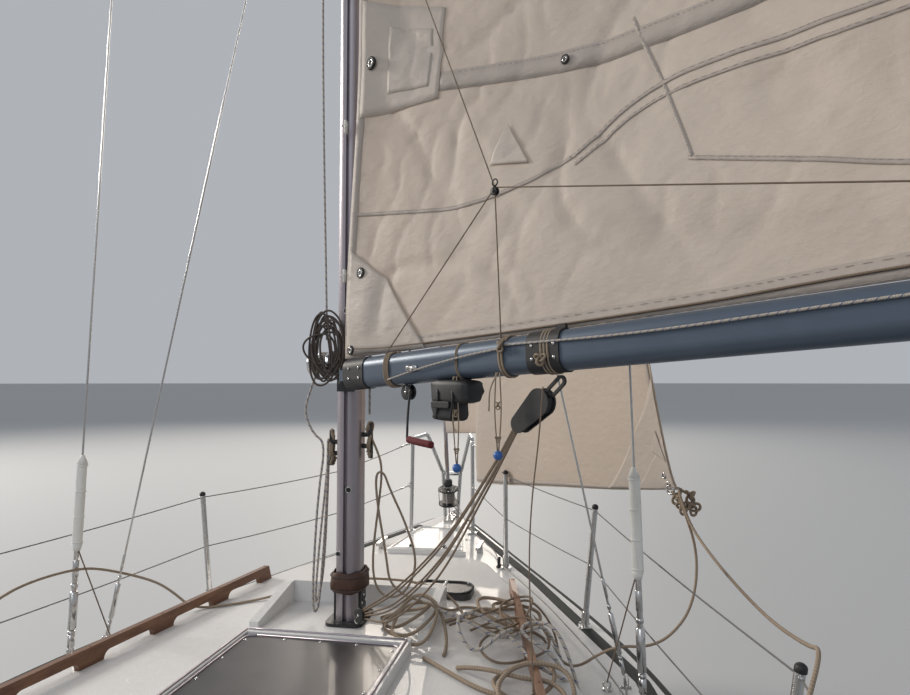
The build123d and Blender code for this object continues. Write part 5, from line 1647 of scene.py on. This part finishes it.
# Lifelines: share of the stanchions' height, rise of the ends at the pulpit and at the pushpit
LIFELINES = ((0.975, 0.575, 0.56), (0.52, 0.30, 0.285))
# Screws of the shrouds: start, how much wider than the rod, length
SHROUD_SCREWS = (
    (0.035, 0.003, 0.05), (0.10, 0.0055, 0.15), (0.262, 0.0028, 0.016), (0.086, 0.0035, 0.012), (0.30, 0.0016, 0.07),
)
# Ends of the shrouds' sleeves: start, radii at the foot, over it and at the tip, length
SLEEVE_ENDS = ((-0.028, 0.0105, 0.0125, 0.0205, 0.03), (0.308, 0.0195, 0.0205, 0.007, 0.035))
# Screws of the backstay's legs: start, radius, length
BACKSTAY_SCREWS = ((0.02, 0.007, 0.05), (0.09, 0.0105, 0.14), (0.25, 0.0068, 0.05), (1.0, 0.006, 0.03))
# The furling line's tangle at its drum
TANGLE = (
    (2.02, -0.045, 1.065), (1.985, -0.080, 1.045), (1.995, -0.105, 1.010), (2.025, -0.085, 0.990),
    (2.035, -0.040, 1.005), (2.005, -0.020, 1.035), (1.965, -0.050, 1.050), (1.960, -0.085, 1.015),
    (1.985, -0.100, 0.985), (2.015, -0.060, 0.985), (2.010, -0.020, 1.0), (1.975, -0.015, 0.995),
    (1.955, -0.045, 0.985),
)


class YACHT_OT_rigging(bpy.types.Operator):
    """Adds lifelines, shroud screws, pins and the furling gear"""

    bl_idname = "yacht.rigging"
    bl_label = "Standing rigging"

    def execute(self, context):
        self.deck = skin("deck", "hull")
        self.add_lifelines(context.scene.yacht_sizes.lifeline / 2)
        self.add_shroud_gear()
        self.add_backstay_gear()
        self.add_furling_gear()
        self.add_furling_lines()
        return {"FINISHED"}

    def post(self, x, y, lean, side, share):
        """Point on a stanchion at a share of its height."""
        return under(self.deck, x, side * y) + Vector((0, side * lean, STANCHION_HEIGHT)) * share

    def add_lifelines(self, radius):
        """Upper and lower wires through the stanchions, with their screws, caps and rings."""
        wires, metal, caps, strops = [], [], [], []
        for side, x, y in ((1, -0.05, 0.97), (-1, -0.01, -0.965)):
            bow = under(self.deck, 1.8, side * 0.205)
            quarter = under(self.deck, -3.65, side * 1.085)
            for share, bow_rise, stern_rise in LIFELINES:
                start = bow + Vector((-0.012, side * 0.004, bow_rise))
                end = quarter + Vector((0.018, 0, stern_rise))
                holes = [self.post(*row, side, share) for row in STANCHIONS]
                stops = [start, *holes, end]
                for a, b in zip(stops, stops[1:]):
                    sag = UP * -0.006 * (b - a).length
                    wires.append([a, a.lerp(b, 0.33) + sag, a.lerp(b, 0.67) + sag, b])
                for hole in holes:
                    metal += [hoop(hole + AHEAD * step, AHEAD, 0.0055, 0.0016, 12) for step in (-0.0135, 0.0135)]
                    metal.append(pin(hole, AHEAD, 0.0042, 0.020, 10))
                for point, ahead in ((start, stops[1]), (end, stops[-2])):
                    way = (ahead - point).normalized()
                    metal.append(turned(SCREW, point + way * 0.012, way, 12))
                    metal.append(hoop(point, way.cross(UP), 0.015, 0.003, 16))
            for row in STANCHIONS:
                lean = (0, side * row[2], STANCHION_HEIGHT)
                caps.append(turned(CAP, self.post(*row, side, 1.0) - UP * 0.006, lean, 16))
                metal += foot_bolts(under(self.deck, row[0], side * row[1], 0.008))
            eye = under(self.deck, x, y, 0.006)
            strops.append([(-0.17, side * 1.0575, 1.285), eye + UP * 0.02])
            metal.append(hoop(eye + UP * 0.012, AHEAD, 0.013, 0.003, 16))
            plate = [(0.018, 0), (0.018, 0.003), (0.014, 0.005), (0.0005, 0.006)]
            metal.append(turned(plate, eye - UP * 0.006, UP, 18))
        add_lines("lifelines", wires, radius, "wire_steel", ROOT, 6)
        add_lines("lifeline_strops", strops, radius, "rope_brown", ROOT)
        merged("lifeline_fittings", metal, "steel", ROOT)
        merged("stanchion_caps", caps, "black_plastic", ROOT)

    def add_shroud_gear(self):
        """Bottlescrew bodies, lock nuts, clevis pins, split rings and soft boots."""
        metal, loops, boots, cones = [], [], [], []
        foot_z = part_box("cap_shrouds")[0].z
        for side in SIDES:
            cap_foot, cap_tip = Vector((-0.17, side * 1.075, foot_z)), Vector((-0.08, side * 0.95, 5.6))
            low_foot, low_tip = Vector((-0.03, side * 1.03, foot_z)), Vector((0, side * 0.053, 5.48))
            for foot, tip, rod in ((cap_foot, cap_tip, 0.010), (low_foot, low_tip, 0.004)):
                way = (tip - foot).normalized()
                for start, wider, length in SHROUD_SCREWS:
                    metal.append(barrel(foot + way * start, way, rod * 0.9, rod + wider, length))
                metal.append(pin(foot - UP * 0.012, PORT, 0.0055, 0.017))
                for step in (-1, 1):
                    head = foot + Vector((0, step * 0.0155, -0.012))
                    metal.append(turned([(0.008, 0), (0.008, 0.003)], head, PORT * step, 12))
                    cheek = foot + Vector((0, step * 0.0085, 0.006))
                    metal.append(prism(rounded(0.011, 0.026, 0.010), cheek, AHEAD * -step, UP, 0.003))
                loops.append(ring(foot + Vector((0, -0.020 * side, -0.020)), (0.4, 1, 0), 0.008, 14))
            way = (cap_tip - cap_foot).normalized()
            sleeve = cap_foot + way * 0.431
            for start, inner, low, high, length in SLEEVE_ENDS:
                profile = [(inner, 0), (low, 0.0005), (high, length), (0.006, length + 0.001)]
                cones.append(turned(profile, sleeve + way * start, way))
            for start in (0.002, 0.10, 0.20, 0.30):
                profile = [(0.0192, 0), (0.0206, 0.002), (0.0206, 0.006), (0.0192, 0.008)]
                cones.append(turned(profile, sleeve + way * start, way))
            boots.append(pillow(cap_tip, AHEAD, UP, PORT, (0.018, 0.02, 0.018), 4.0 + side, 16, 12, 0.8))
            for tang in (low_tip + PORT * side * 0.004, Vector((0, side * 0.055, 9.04))):
                metal.append(prism(rounded(0.012, 0.030, 0.010), tang, AHEAD * -side, UP, 0.004))
                metal.append(pin(tang - UP * 0.012, PORT, 0.005, 0.012, 10))
        merged("shroud_screws", metal, "steel", ROOT)
        add_lines("split_rings", loops, 0.0012, "chrome", ROOT, 1, 6)
        merged("sleeve_ends", cones, "white_plastic", ROOT)
        merged("spreader_boots", boots, "white_plastic", ROOT)

    def add_backstay_gear(self):
        """Pins and screws of the backstay's legs."""
        metal = []
        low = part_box("backstay_leg_port")[0].z
        for side in SIDES:
            foot = Vector((-4.59, side * 0.7, low + 0.006))
            way = (Vector((-3.42, side * 0.024, 2.99)) - foot).normalized()
            for start, radius, length in BACKSTAY_SCREWS:
                metal.append(barrel(foot + way * start, way, 0.0036, radius, length))
            metal.append(pin(foot - UP * 0.008, PORT, 0.0055, 0.016))
        merged("backstay_screws", metal, "steel", ROOT)

    def add_furling_gear(self):
        """The furling line's turns on the drum, the drum's guards, and the fittings on the stay."""
        foot = on_stay(1.085)
        coil = []
        for layer in range(3):
            for k in range(6 * 14):
                level = 0.016 + 0.0125 * (k / 14 if layer % 2 == 0 else 6 - k / 14)
                coil.append(foot + stay_way * level + radial(stay_way, math.tau * k / 14) * (0.030 + 0.0055 * layer))
        add_lines("furling_turns", [coil], 0.003, "rope_fleck", ROOT, 1)
        guards = []
        for k in range(4):
            out = radial(stay_way, math.tau * (k + 0.5) / 4)
            bow = ((0.006, 0.066), (0.055, 0.068), (0.104, 0.066))
            guards.append([foot + stay_way * level + out * reach for level, reach in bow])
        add_lines("furler_guards", guards, 0.003, "steel", ROOT, 4)
        rim = foot + stay_way * 0.110
        cage = [bolt(rim + radial(stay_way, math.tau * k / 12) * 0.052, stay_way) for k in range(12)]
        cage.append(hoop(foot + stay_way * 0.125, stay_way, 0.020, 0.005, 20, 8))
        cage.append(hoop(on_stay(1.30) - AHEAD * 0.012, PORT, 0.016, 0.0035, 18, 8))
        cage.append(hoop(on_stay(1.245) - AHEAD * 0.010, AHEAD, 0.013, 0.003, 18, 8))
        merged("furler_fittings", cage, "steel", ROOT)
        swivels = [turned(SWIVEL, spot, stay_way, 24) for spot in (foot + stay_way * 0.125, on_stay(8.53))]
        merged("furler_swivel", swivels, "black_alloy", ROOT)

    def add_furling_lines(self):
        """The lashings at the jib's tack, and the furling line's lead aft and its tangle."""
        foot = on_stay(1.085)
        top, low = on_stay(1.53) - AHEAD * 0.02, on_stay(1.315)
        lashings = [
            [top, on_stay(1.43) - Vector((0.03, 0.006, 0)), low - AHEAD * 0.02],
            [top, on_stay(1.42) - Vector((0.024, -0.008, 0)), low - AHEAD * 0.012],
        ]
        add_lines("jib_tack_lashing", lashings, 0.0028, "rope_cream", ROOT, 6)
        start = foot + stay_way * 0.05 + Vector((-0.02, -0.05, 0))
        bow, *leads = lay(self.deck, ((1.80, -0.175), (1.45, -0.38), (1.21, -0.452)), 0.016)
        aft = lay(self.deck, ((0.9, -0.60), (0.53, -0.78), (-0.1, -1.02), (-0.9, -1.17), (-2.4, -1.16)), 0.03)
        add_lines("furling_line", [[start, bow + UP * 0.03, *leads, *aft]], 0.003, "rope_fleck", ROOT, 10)
        route = [foot + stay_way * 0.03 + Vector((-0.045, -0.02, 0)), *TANGLE]
        add_rope("furling_tail", route, 0.006, "rope_cream", ROOT)


HATCH_TOP = 1.0415
LIGHT_X, LIGHT_Y = 0.39, -0.29
TRACK_Y = 1.075
# Side windows: aft and fore end; their half height and the height of their middle
WINDOWS = ((-1.25, -0.65), (-0.52, 0.04))
WINDOW_HALF, WINDOW_Z = 0.053, 0.8975
# The rubbing strake's arc in side view: radius, and x and height of its lowest point
STRAKE_RADIUS, STRAKE_LOW_X, STRAKE_LOW_Z = 55, -2.9, 0.705


class YACHT_OT_deck(bpy.types.Operator):
    """Adds rims, latches, fairleads, screws and trim on the deck"""

    bl_idname = "yacht.deck"
    bl_label = "Deck gear"

    def execute(self, context):
        self.deck = skin("deck", "hull")
        self.add_hatch_trim()
        self.add_light_trim()
        self.add_fore_lid_trim()
        self.add_fairleads()
        self.add_window_frames()
        self.add_gunwale()
        self.add_rail_screws()
        self.add_deck_bolts()
        self.add_drains()
        return {"FINISHED"}

    def add_hatch_trim(self):
        """Rim, handle and screws of the sliding hatch, trim of its runners and the companionway's steps."""
        rim = [(x - 0.63, y, HATCH_TOP) for x, y in rounded(0.346, 0.276, 0.036, 6)]
        add_lines("hatch_rim", [closed(rim)], 0.0045, "mast_alloy", "hatch", 1)
        half = ((-0.11, 0), (-0.11, 0.028), (-0.085, 0.036))
        bar = [(-0.935, y, HATCH_TOP + rise) for y, rise in (*half, *((-y, rise) for y, rise in reversed(half)))]
        add_lines("hatch_handle", [bar], 0.0065, "steel", "hatch", 5, 10)
        spots = [(x, y) for x in (-0.93, -0.78, -0.63, -0.48, -0.33) for y in (-0.262, 0.262)]
        spots += [(x, y) for x in (-0.955, -0.305) for y in (-0.13, 0.0, 0.13)]
        merged("hatch_screws", [bolt((x, y, HATCH_TOP - 0.0005), UP, 10) for x, y in spots], "chrome", "hatch")
        strips = [[(x, side * 0.292, 1.0525) for x in (-1.40, -0.26)] for side in SIDES]
        strips.append([(-0.256, y, 1.0525) for y in (-0.285, 0.285)])
        add_lines("hatch_runner_trim", strips, 0.004, "mast_alloy", ROOT, 6)
        jamb = [(0, 0), (0.024, 0), (0.024, 0.43), (0, 0.43)]
        sill = [(-0.25, 0), (0.25, 0), (0.25, 0.028), (-0.25, 0.028)]
        trim = [prism(jamb, (-1.4505, side * 0.262 - 0.012, 0.583), PORT, UP, -0.018) for side in SIDES]
        trim.append(prism(sill, (-1.452, 0, 0.553), PORT, UP, -0.02))
        soften(merged("companion_trim", trim, "teak", ROOT, smooth=False), 0.003)
        tread = rounded(0.20, 0.085, 0.02)
        steps = [prism(tread, (-1.25 + 0.12 * k, 0, 0.33 - 0.24 * k), PORT, AHEAD, 0.024) for k in range(2)]
        soften(merged("cabin_steps", steps, "teak", ROOT, smooth=False), 0.004)

    def add_light_trim(self):
        """Rim, divider and screws of the deck light."""
        tree = skin("deck_light", "coachroof", "mast_well")
        edge = [(LIGHT_X + x * 0.985, LIGHT_Y + y * 0.985) for x, y in rounded(0.083, 0.128, 0.06, 7)]
        add_lines("deck_light_rim", [closed(lay(tree, edge, 0.002))], 0.006, "black_plastic", ROOT, 1)
        bar = lay(tree, [(LIGHT_X + x, LIGHT_Y) for x in (-0.078, -0.04, 0, 0.04, 0.078)], 0.001)
        add_lines("deck_light_bar", [bar], 0.007, "white_plastic", ROOT, 3)
        spots = ((-0.06, -0.10), (0.06, -0.10), (-0.06, 0.10), (0.06, 0.10), (0.078, 0.0), (-0.078, 0.0))
        screws = [bolt(spot) for spot in lay(tree, [(LIGHT_X + x, LIGHT_Y + y) for x, y in spots], 0.006)]
        merged("deck_light_screws", screws, "chrome", ROOT)

    def add_fore_lid_trim(self):
        """Seal, latches and screws of the foredeck locker's lid."""
        tree = skin("fore_lid")
        outline = closed([(1.345, -0.215), (1.345, 0.215), (1.775, 0.135), (1.775, -0.135)])
        dense = [
            (a[0] + (b[0] - a[0]) * k / 8, a[1] + (b[1] - a[1]) * k / 8)
            for a, b in zip(outline, outline[1:])
            for k in range(8)
        ]
        add_lines("fore_lid_rim", [closed(lay(tree, dense, 0.001))], 0.0035, "white_plastic", "fore_lid_body", 1)
        metal, dark = [], []
        for spot in lay(tree, ((1.375, -0.10), (1.375, 0.10)), 0):
            metal.append(turned([(0.020, 0), (0.020, 0.004), (0.012, 0.009), (0.0005, 0.010)], spot))
            dark.append(prism(rounded(0.022, 0.006, 0.005), spot + UP * 0.014, AHEAD, PORT, 0.005))
            metal.append(bolt(spot + UP * 0.014))
        for x, y in ((1.42, 0.19), (1.6, 0.15), (1.74, 0.11)):
            metal += [bolt(under(tree, x, side * y)) for side in (-1, 1)]
        merged("fore_lid_latches", metal, "steel", "fore_lid_body")
        merged("fore_lid_levers", dark, "black_plastic", "fore_lid_body")

    def add_fairleads(self):
        """Roller leads on the foredeck, and the genoa tracks' screws, holes and car blocks; the holes are black discs
        of painted shade.
        """
        black, metal = [], []
        for side in SIDES:
            foot = under(self.deck, 1.213, side * 0.441)
            black.append(prism(rounded(0.026, 0.014, 0.012), foot + UP * 0.004, AHEAD, PORT, 0.008))
            for dx in (-0.018, 0.018):
                black.append(turned(ROLLER, foot + Vector((dx, 0, 0.004)), UP, 16))
                metal.append(bolt(foot + Vector((dx, side * 0.009, 0.0045))))
            bow = [foot + Vector((dx, 0, rise)) for dx, rise in ((-0.018, 0.036), (0, 0.042), (0.018, 0.036))]
            metal.append(tube_shape(bow, 0.004, 8))
        track = skin("genoa_tracks")
        for x in (-1.62, -1.45, -1.28, -0.95, -0.80):
            metal += [bolt(under(track, x, side * TRACK_Y)) for side in SIDES]
        for side in SIDES:
            cheeks, straps = block_shapes(Vector((-1.10, side * TRACK_Y, 0.84)), PORT, -UP, 0.024, 0.018)
            black += cheeks
            metal += straps
        merged("leads", black, "black_plastic", ROOT)
        merged("lead_metal", metal, "steel", ROOT)
        # Black discs in the track's holes: painted shade inside them.
        holes = []
        for side in SIDES:
            for x in (-1.72 + 0.052 * k for k in range(18)):
                if abs(x + 1.10) > 0.065:
                    spot = under(track, x + 0.02, side * TRACK_Y, -0.0006)
                    holes.append(disc(spot, UP, 0.0045, 0.0012, 0.0001, 10))
        merged("track_hole_shade", holes, "black_plastic", ROOT)

    def add_window_frames(self):
        """Rubber gaskets round the four side windows."""
        tree = skin("coachroof", "side_windows", "hull")
        loops = []
        for low, high in WINDOWS:
            for side in SIDES:
                loop = []
                for x, z in rounded((high - low) / 2 + 0.006, WINDOW_HALF, 0.03, 6):
                    origin = Vector(((low + high) / 2 + x, side * 2.0, WINDOW_Z + z))
                    loop.append(tree.ray_cast(origin, PORT * -side)[0] + PORT * side * 0.0015)
                loop = closed(loop)
                loops.append(closed([a.lerp(b, k / 4) for a, b in zip(loop, loop[1:]) for k in range(4)]))
        add_lines("window_gaskets", loops, 0.0055, "black_plastic", ROOT, 1)

    def add_gunwale(self):
        """Dark rubber cap along the edge of the deck on each side."""
        shapes = []
        for side in SIDES:
            points, faces = [], []
            for k in range(121):
                x = -4.55 + 6.50 * k / 120
                half = half_beam(x)
                way = Vector((1, side * (half_beam(x + 0.02) - half) / 0.02, 0)).normalized()
                across = Vector((-way.y, way.x, 0)) * side
                for inward, lift in ((0.014, 0.0), (0.020, 0.004), (0.066, 0.004), (0.072, 0.0)):
                    spot = Vector((x, side * half, 0)) - across * inward
                    points.append(under(self.deck, spot.x, spot.y, lift))
            for face in grid_faces(4, 121):
                faces.append(face[::-1] if side > 0 else face)
            shapes.append((points, faces))
        merged("gunwale_cap", shapes, "strake_rubber", ROOT)

    def add_rail_screws(self):
        """Bungs in the handrails, and the screws of the rubbing strakes."""
        bungs, screws = [], []
        rail, strake = skin("handrails"), skin("strakes")
        for side in SIDES:
            start, end = Vector((0.520, side * 0.575, 0)), Vector((-1.150, side * 0.865, 0))
            for k in range(6):
                spot = start.lerp(end, max(0.03, (0.0475 + 0.32 * k) / 1.695))
                top = under(rail, spot.x, spot.y)
                bungs.append(turned([(0.0065, 0), (0.0065, 0.0006), (0.0005, 0.0008)], top, UP, 12))
            for x in (-4.55 + 0.182 * k for k in range(36)):
                height = STRAKE_LOW_Z + STRAKE_RADIUS - math.sqrt(STRAKE_RADIUS**2 - (x - STRAKE_LOW_X) ** 2)
                spot = strake.ray_cast(Vector((x, side * 2.2, height)), PORT * -side)[0]
                if spot:
                    screws.append(bolt(spot, PORT * side))
        merged("rail_bungs", bungs, "rail_bung", ROOT)
        merged("strake_screws", screws, "steel", ROOT)

    def add_deck_bolts(self):
        """Bolts of the stem fitting, the rails' feet and the mooring cleats."""
        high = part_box("stem_fitting")[1].z - 0.02
        metal = [bolt((x, 0, high)) for x in (2.06, 2.12, 2.18)]
        for x, y in ((1.8, 0.205), (-3.65, 1.085), (-4.25, 0.943)):
            for side in SIDES:
                metal += foot_bolts(under(self.deck, x, side * y, 0.008))
        cleats = skin("mooring_cleats", "deck")
        for x, y in ((1.45, 0.3), (-4.35, 0.8)):
            metal += [bolt(under(cleats, x, side * y), UP, 10) for side in SIDES]
        merged("deck_bolts", metal, "steel", ROOT)

    def add_drains(self):
        """Four drains in the floor of the cockpit: steel rims round black discs of painted shade."""
        cockpit = skin("cockpit")
        spots = [under(cockpit, x, y, 0.0004, 1.2) for x in (-3.5, -1.9) for y in (0.18, -0.18)]
        merged("drain_rims", [hoop(spot, UP, 0.024, 0.0025, 24) for spot in spots], "steel", ROOT)
        # Black discs in the rims: painted shade down the drains.
        merged("drain_well_shade", [disc(spot, UP, 0.022, 0.0008) for spot in spots], "black_plastic", ROOT)


TILLER_FOOT, TILLER_END = Vector((-4.80, 0, 0.915)), Vector((-3.614, 0, 1.0925))


def slats(half, x, side, height):
    """Four teak slats beside each other on a seat or a lid."""
    outline = rounded(half, 0.027, 0.008, 3)
    rows = (side * (0.358 + 0.068 * k) for k in range(4))
    return [prism(outline, (x, y, height(x, y)), AHEAD, PORT, 0.006) for y in rows]


class YACHT_OT_cockpit(bpy.types.Operator):
    """Adds slats, lid handles, tiller wrap and rudder bolts"""

    bl_idname = "yacht.cockpit"
    bl_label = "Cockpit and stern"

    def execute(self, context):
        self.add_grating()
        self.add_slats()
        self.add_lid_gear()
        self.add_tiller_gear()
        self.add_stern_gear()
        return {"FINISHED"}

    def add_grating(self):
        """Teak slats on the floor of the well."""
        long, cross = rounded(1.04, 0.021, 0.006, 3), rounded(0.020, 0.235, 0.004, 2)
        grating = [prism(long, (-2.775, -0.208 + 0.052 * k, 0.1925), AHEAD, PORT, 0.014) for k in range(9)]
        grating += [prism(cross, (-3.72 + 0.378 * k, 0, 0.1785), AHEAD, PORT, 0.008) for k in range(6)]
        soften(merged("well_grating", grating, "teak", ROOT, smooth=False), 0.002)

    def add_slats(self):
        """Teak slats let on the locker lids and the seats."""
        for name, side in (("port", 1), ("starboard", -1)):
            lid = slats(0.50, -2.75, side, lambda x, y: 0.5575)
            soften(merged(f"lid_slats_{name}", lid, "teak", f"locker_lid_{name}_body", smooth=False), 0.0015)
        cockpit = skin("cockpit")
        seat = []
        for side in SIDES:
            for x in (-1.86, -3.65):
                seat += slats(0.30, x, side, lambda x, y: under(cockpit, x, y, 0.006, 1.2).z)
        soften(merged("seat_slats", seat, "teak", ROOT, smooth=False), 0.0015)

    def add_lid_gear(self):
        """Finger rings and their screws on the locker lids."""
        for name, side in (("port", 1), ("starboard", -1)):
            metal = []
            for x in (-2.95, -2.55):
                spot = Vector((x, side * 0.328, 0.5525))
                metal.append(prism(rounded(0.024, 0.011, 0.008), spot + UP * 0.0015, AHEAD, PORT, 0.0015))
                metal.append(hoop(spot + UP * 0.003, UP, 0.008, 0.0018))
                metal += [bolt(spot + Vector((dx, 0, 0.0015))) for dx in (-0.018, 0.018)]
            merged(f"lid_rings_{name}", metal, "steel", f"locker_lid_{name}_body")

    def add_tiller_gear(self):
        """Whipping at the tiller's end, its pins, and a stud for the extension."""
        way = (TILLER_END - TILLER_FOOT).normalized()
        over = way.cross(PORT)
        wrap = []
        for k in range(14 * 12 + 1):
            a = math.tau * k / 12
            spot = TILLER_END - way * (0.02 + 0.0042 * k / 12)
            wrap.append(spot + PORT * 0.0165 * soft(math.cos(a), 0.7) + over * 0.0165 * soft(math.sin(a), 0.7))
        add_lines("tiller_whipping", [wrap], 0.0021, "rope_cream", "tiller_body", 1, 6)
        metal = []
        head = [(0.0085, 0), (0.0085, 0.003), (0.005, 0.005), (0.0005, 0.0052)]
        for distance in (0.03, 0.11, 0.175):
            for side in SIDES:
                spot = TILLER_FOOT + way * distance + PORT * side * 0.0308
                metal.append(turned(head, spot, PORT * side, 12))
        metal.append(turned(STUD, TILLER_END - way * 0.11 + over * 0.018, UP, 16))
        merged("tiller_pins", metal, "steel", "tiller_body")

    def add_stern_gear(self):
        """Bolts of the rudder head's cheeks and of the gudgeons, and drains in the transom with black discs of painted
        shade.
        """
        cheeks = ((-4.72, 0.66), (-4.72, 0.80), (-4.86, 0.62))
        bolts = [bolt((x, side * 0.0215, z), PORT * side, 10) for x, z in cheeks for side in SIDES]
        merged("rudder_bolts", bolts, "steel", "rudder_body")
        bolts = [bolt((-4.6565, side * 0.034, z), -AHEAD, 10) for z in (0.205, 0.575) for side in SIDES]
        merged("gudgeon_bolts", bolts, "steel", ROOT)
        drains = [(-4.6505, y, 0.20) for y in (-0.30, 0.30)]
        merged("transom_drain_rims", [hoop(spot, AHEAD, 0.030, 0.004, 24, 8) for spot in drains], "steel", ROOT)
        # Black discs in the rims: painted shade inside the drains.
        merged("transom_drain_shade", [disc(spot, -AHEAD, 0.028, 0.0006) for spot in drains], "black_plastic", ROOT)


class YACHT_PT_panel(bpy.types.Panel):
    """Lists the steps that dress the yacht"""

    bl_idname = "YACHT_PT_panel"
    bl_label = "Small Sailing Yacht"
    bl_space_type = "VIEW_3D"
    bl_region_type = "UI"
    bl_category = "Yacht"

    def draw(self, context):
        sizes = context.scene.yacht_sizes
        for key in sizes.bl_rna.properties.keys():
            if key not in ("rna_type", "name"):
                self.layout.prop(sizes, key)
        for step in STEPS:
            self.layout.operator(step.bl_idname)


STEPS = (
    YACHT_OT_stage,
    YACHT_OT_finishes,
    YACHT_OT_mainsail,
    YACHT_OT_jib,
    YACHT_OT_mast,
    YACHT_OT_boom,
    YACHT_OT_ropes,
    YACHT_OT_rigging,
    YACHT_OT_deck,
    YACHT_OT_cockpit,
)


def register():
    for kind in (YACHT_PG_sizes, *STEPS, YACHT_PT_panel):
        bpy.utils.register_class(kind)
    bpy.types.Scene.yacht_sizes = bpy.props.PointerProperty(type=YACHT_PG_sizes)


def unregister():
    del bpy.types.Scene.yacht_sizes
    for kind in reversed((YACHT_PG_sizes, *STEPS, YACHT_PT_panel)):
        bpy.utils.unregister_class(kind)


def main():
    register()
    for step in STEPS:
        family, name = step.bl_idname.split(".")
        getattr(getattr(bpy.ops, family), name)()


if __name__ == "__main__":
    main()
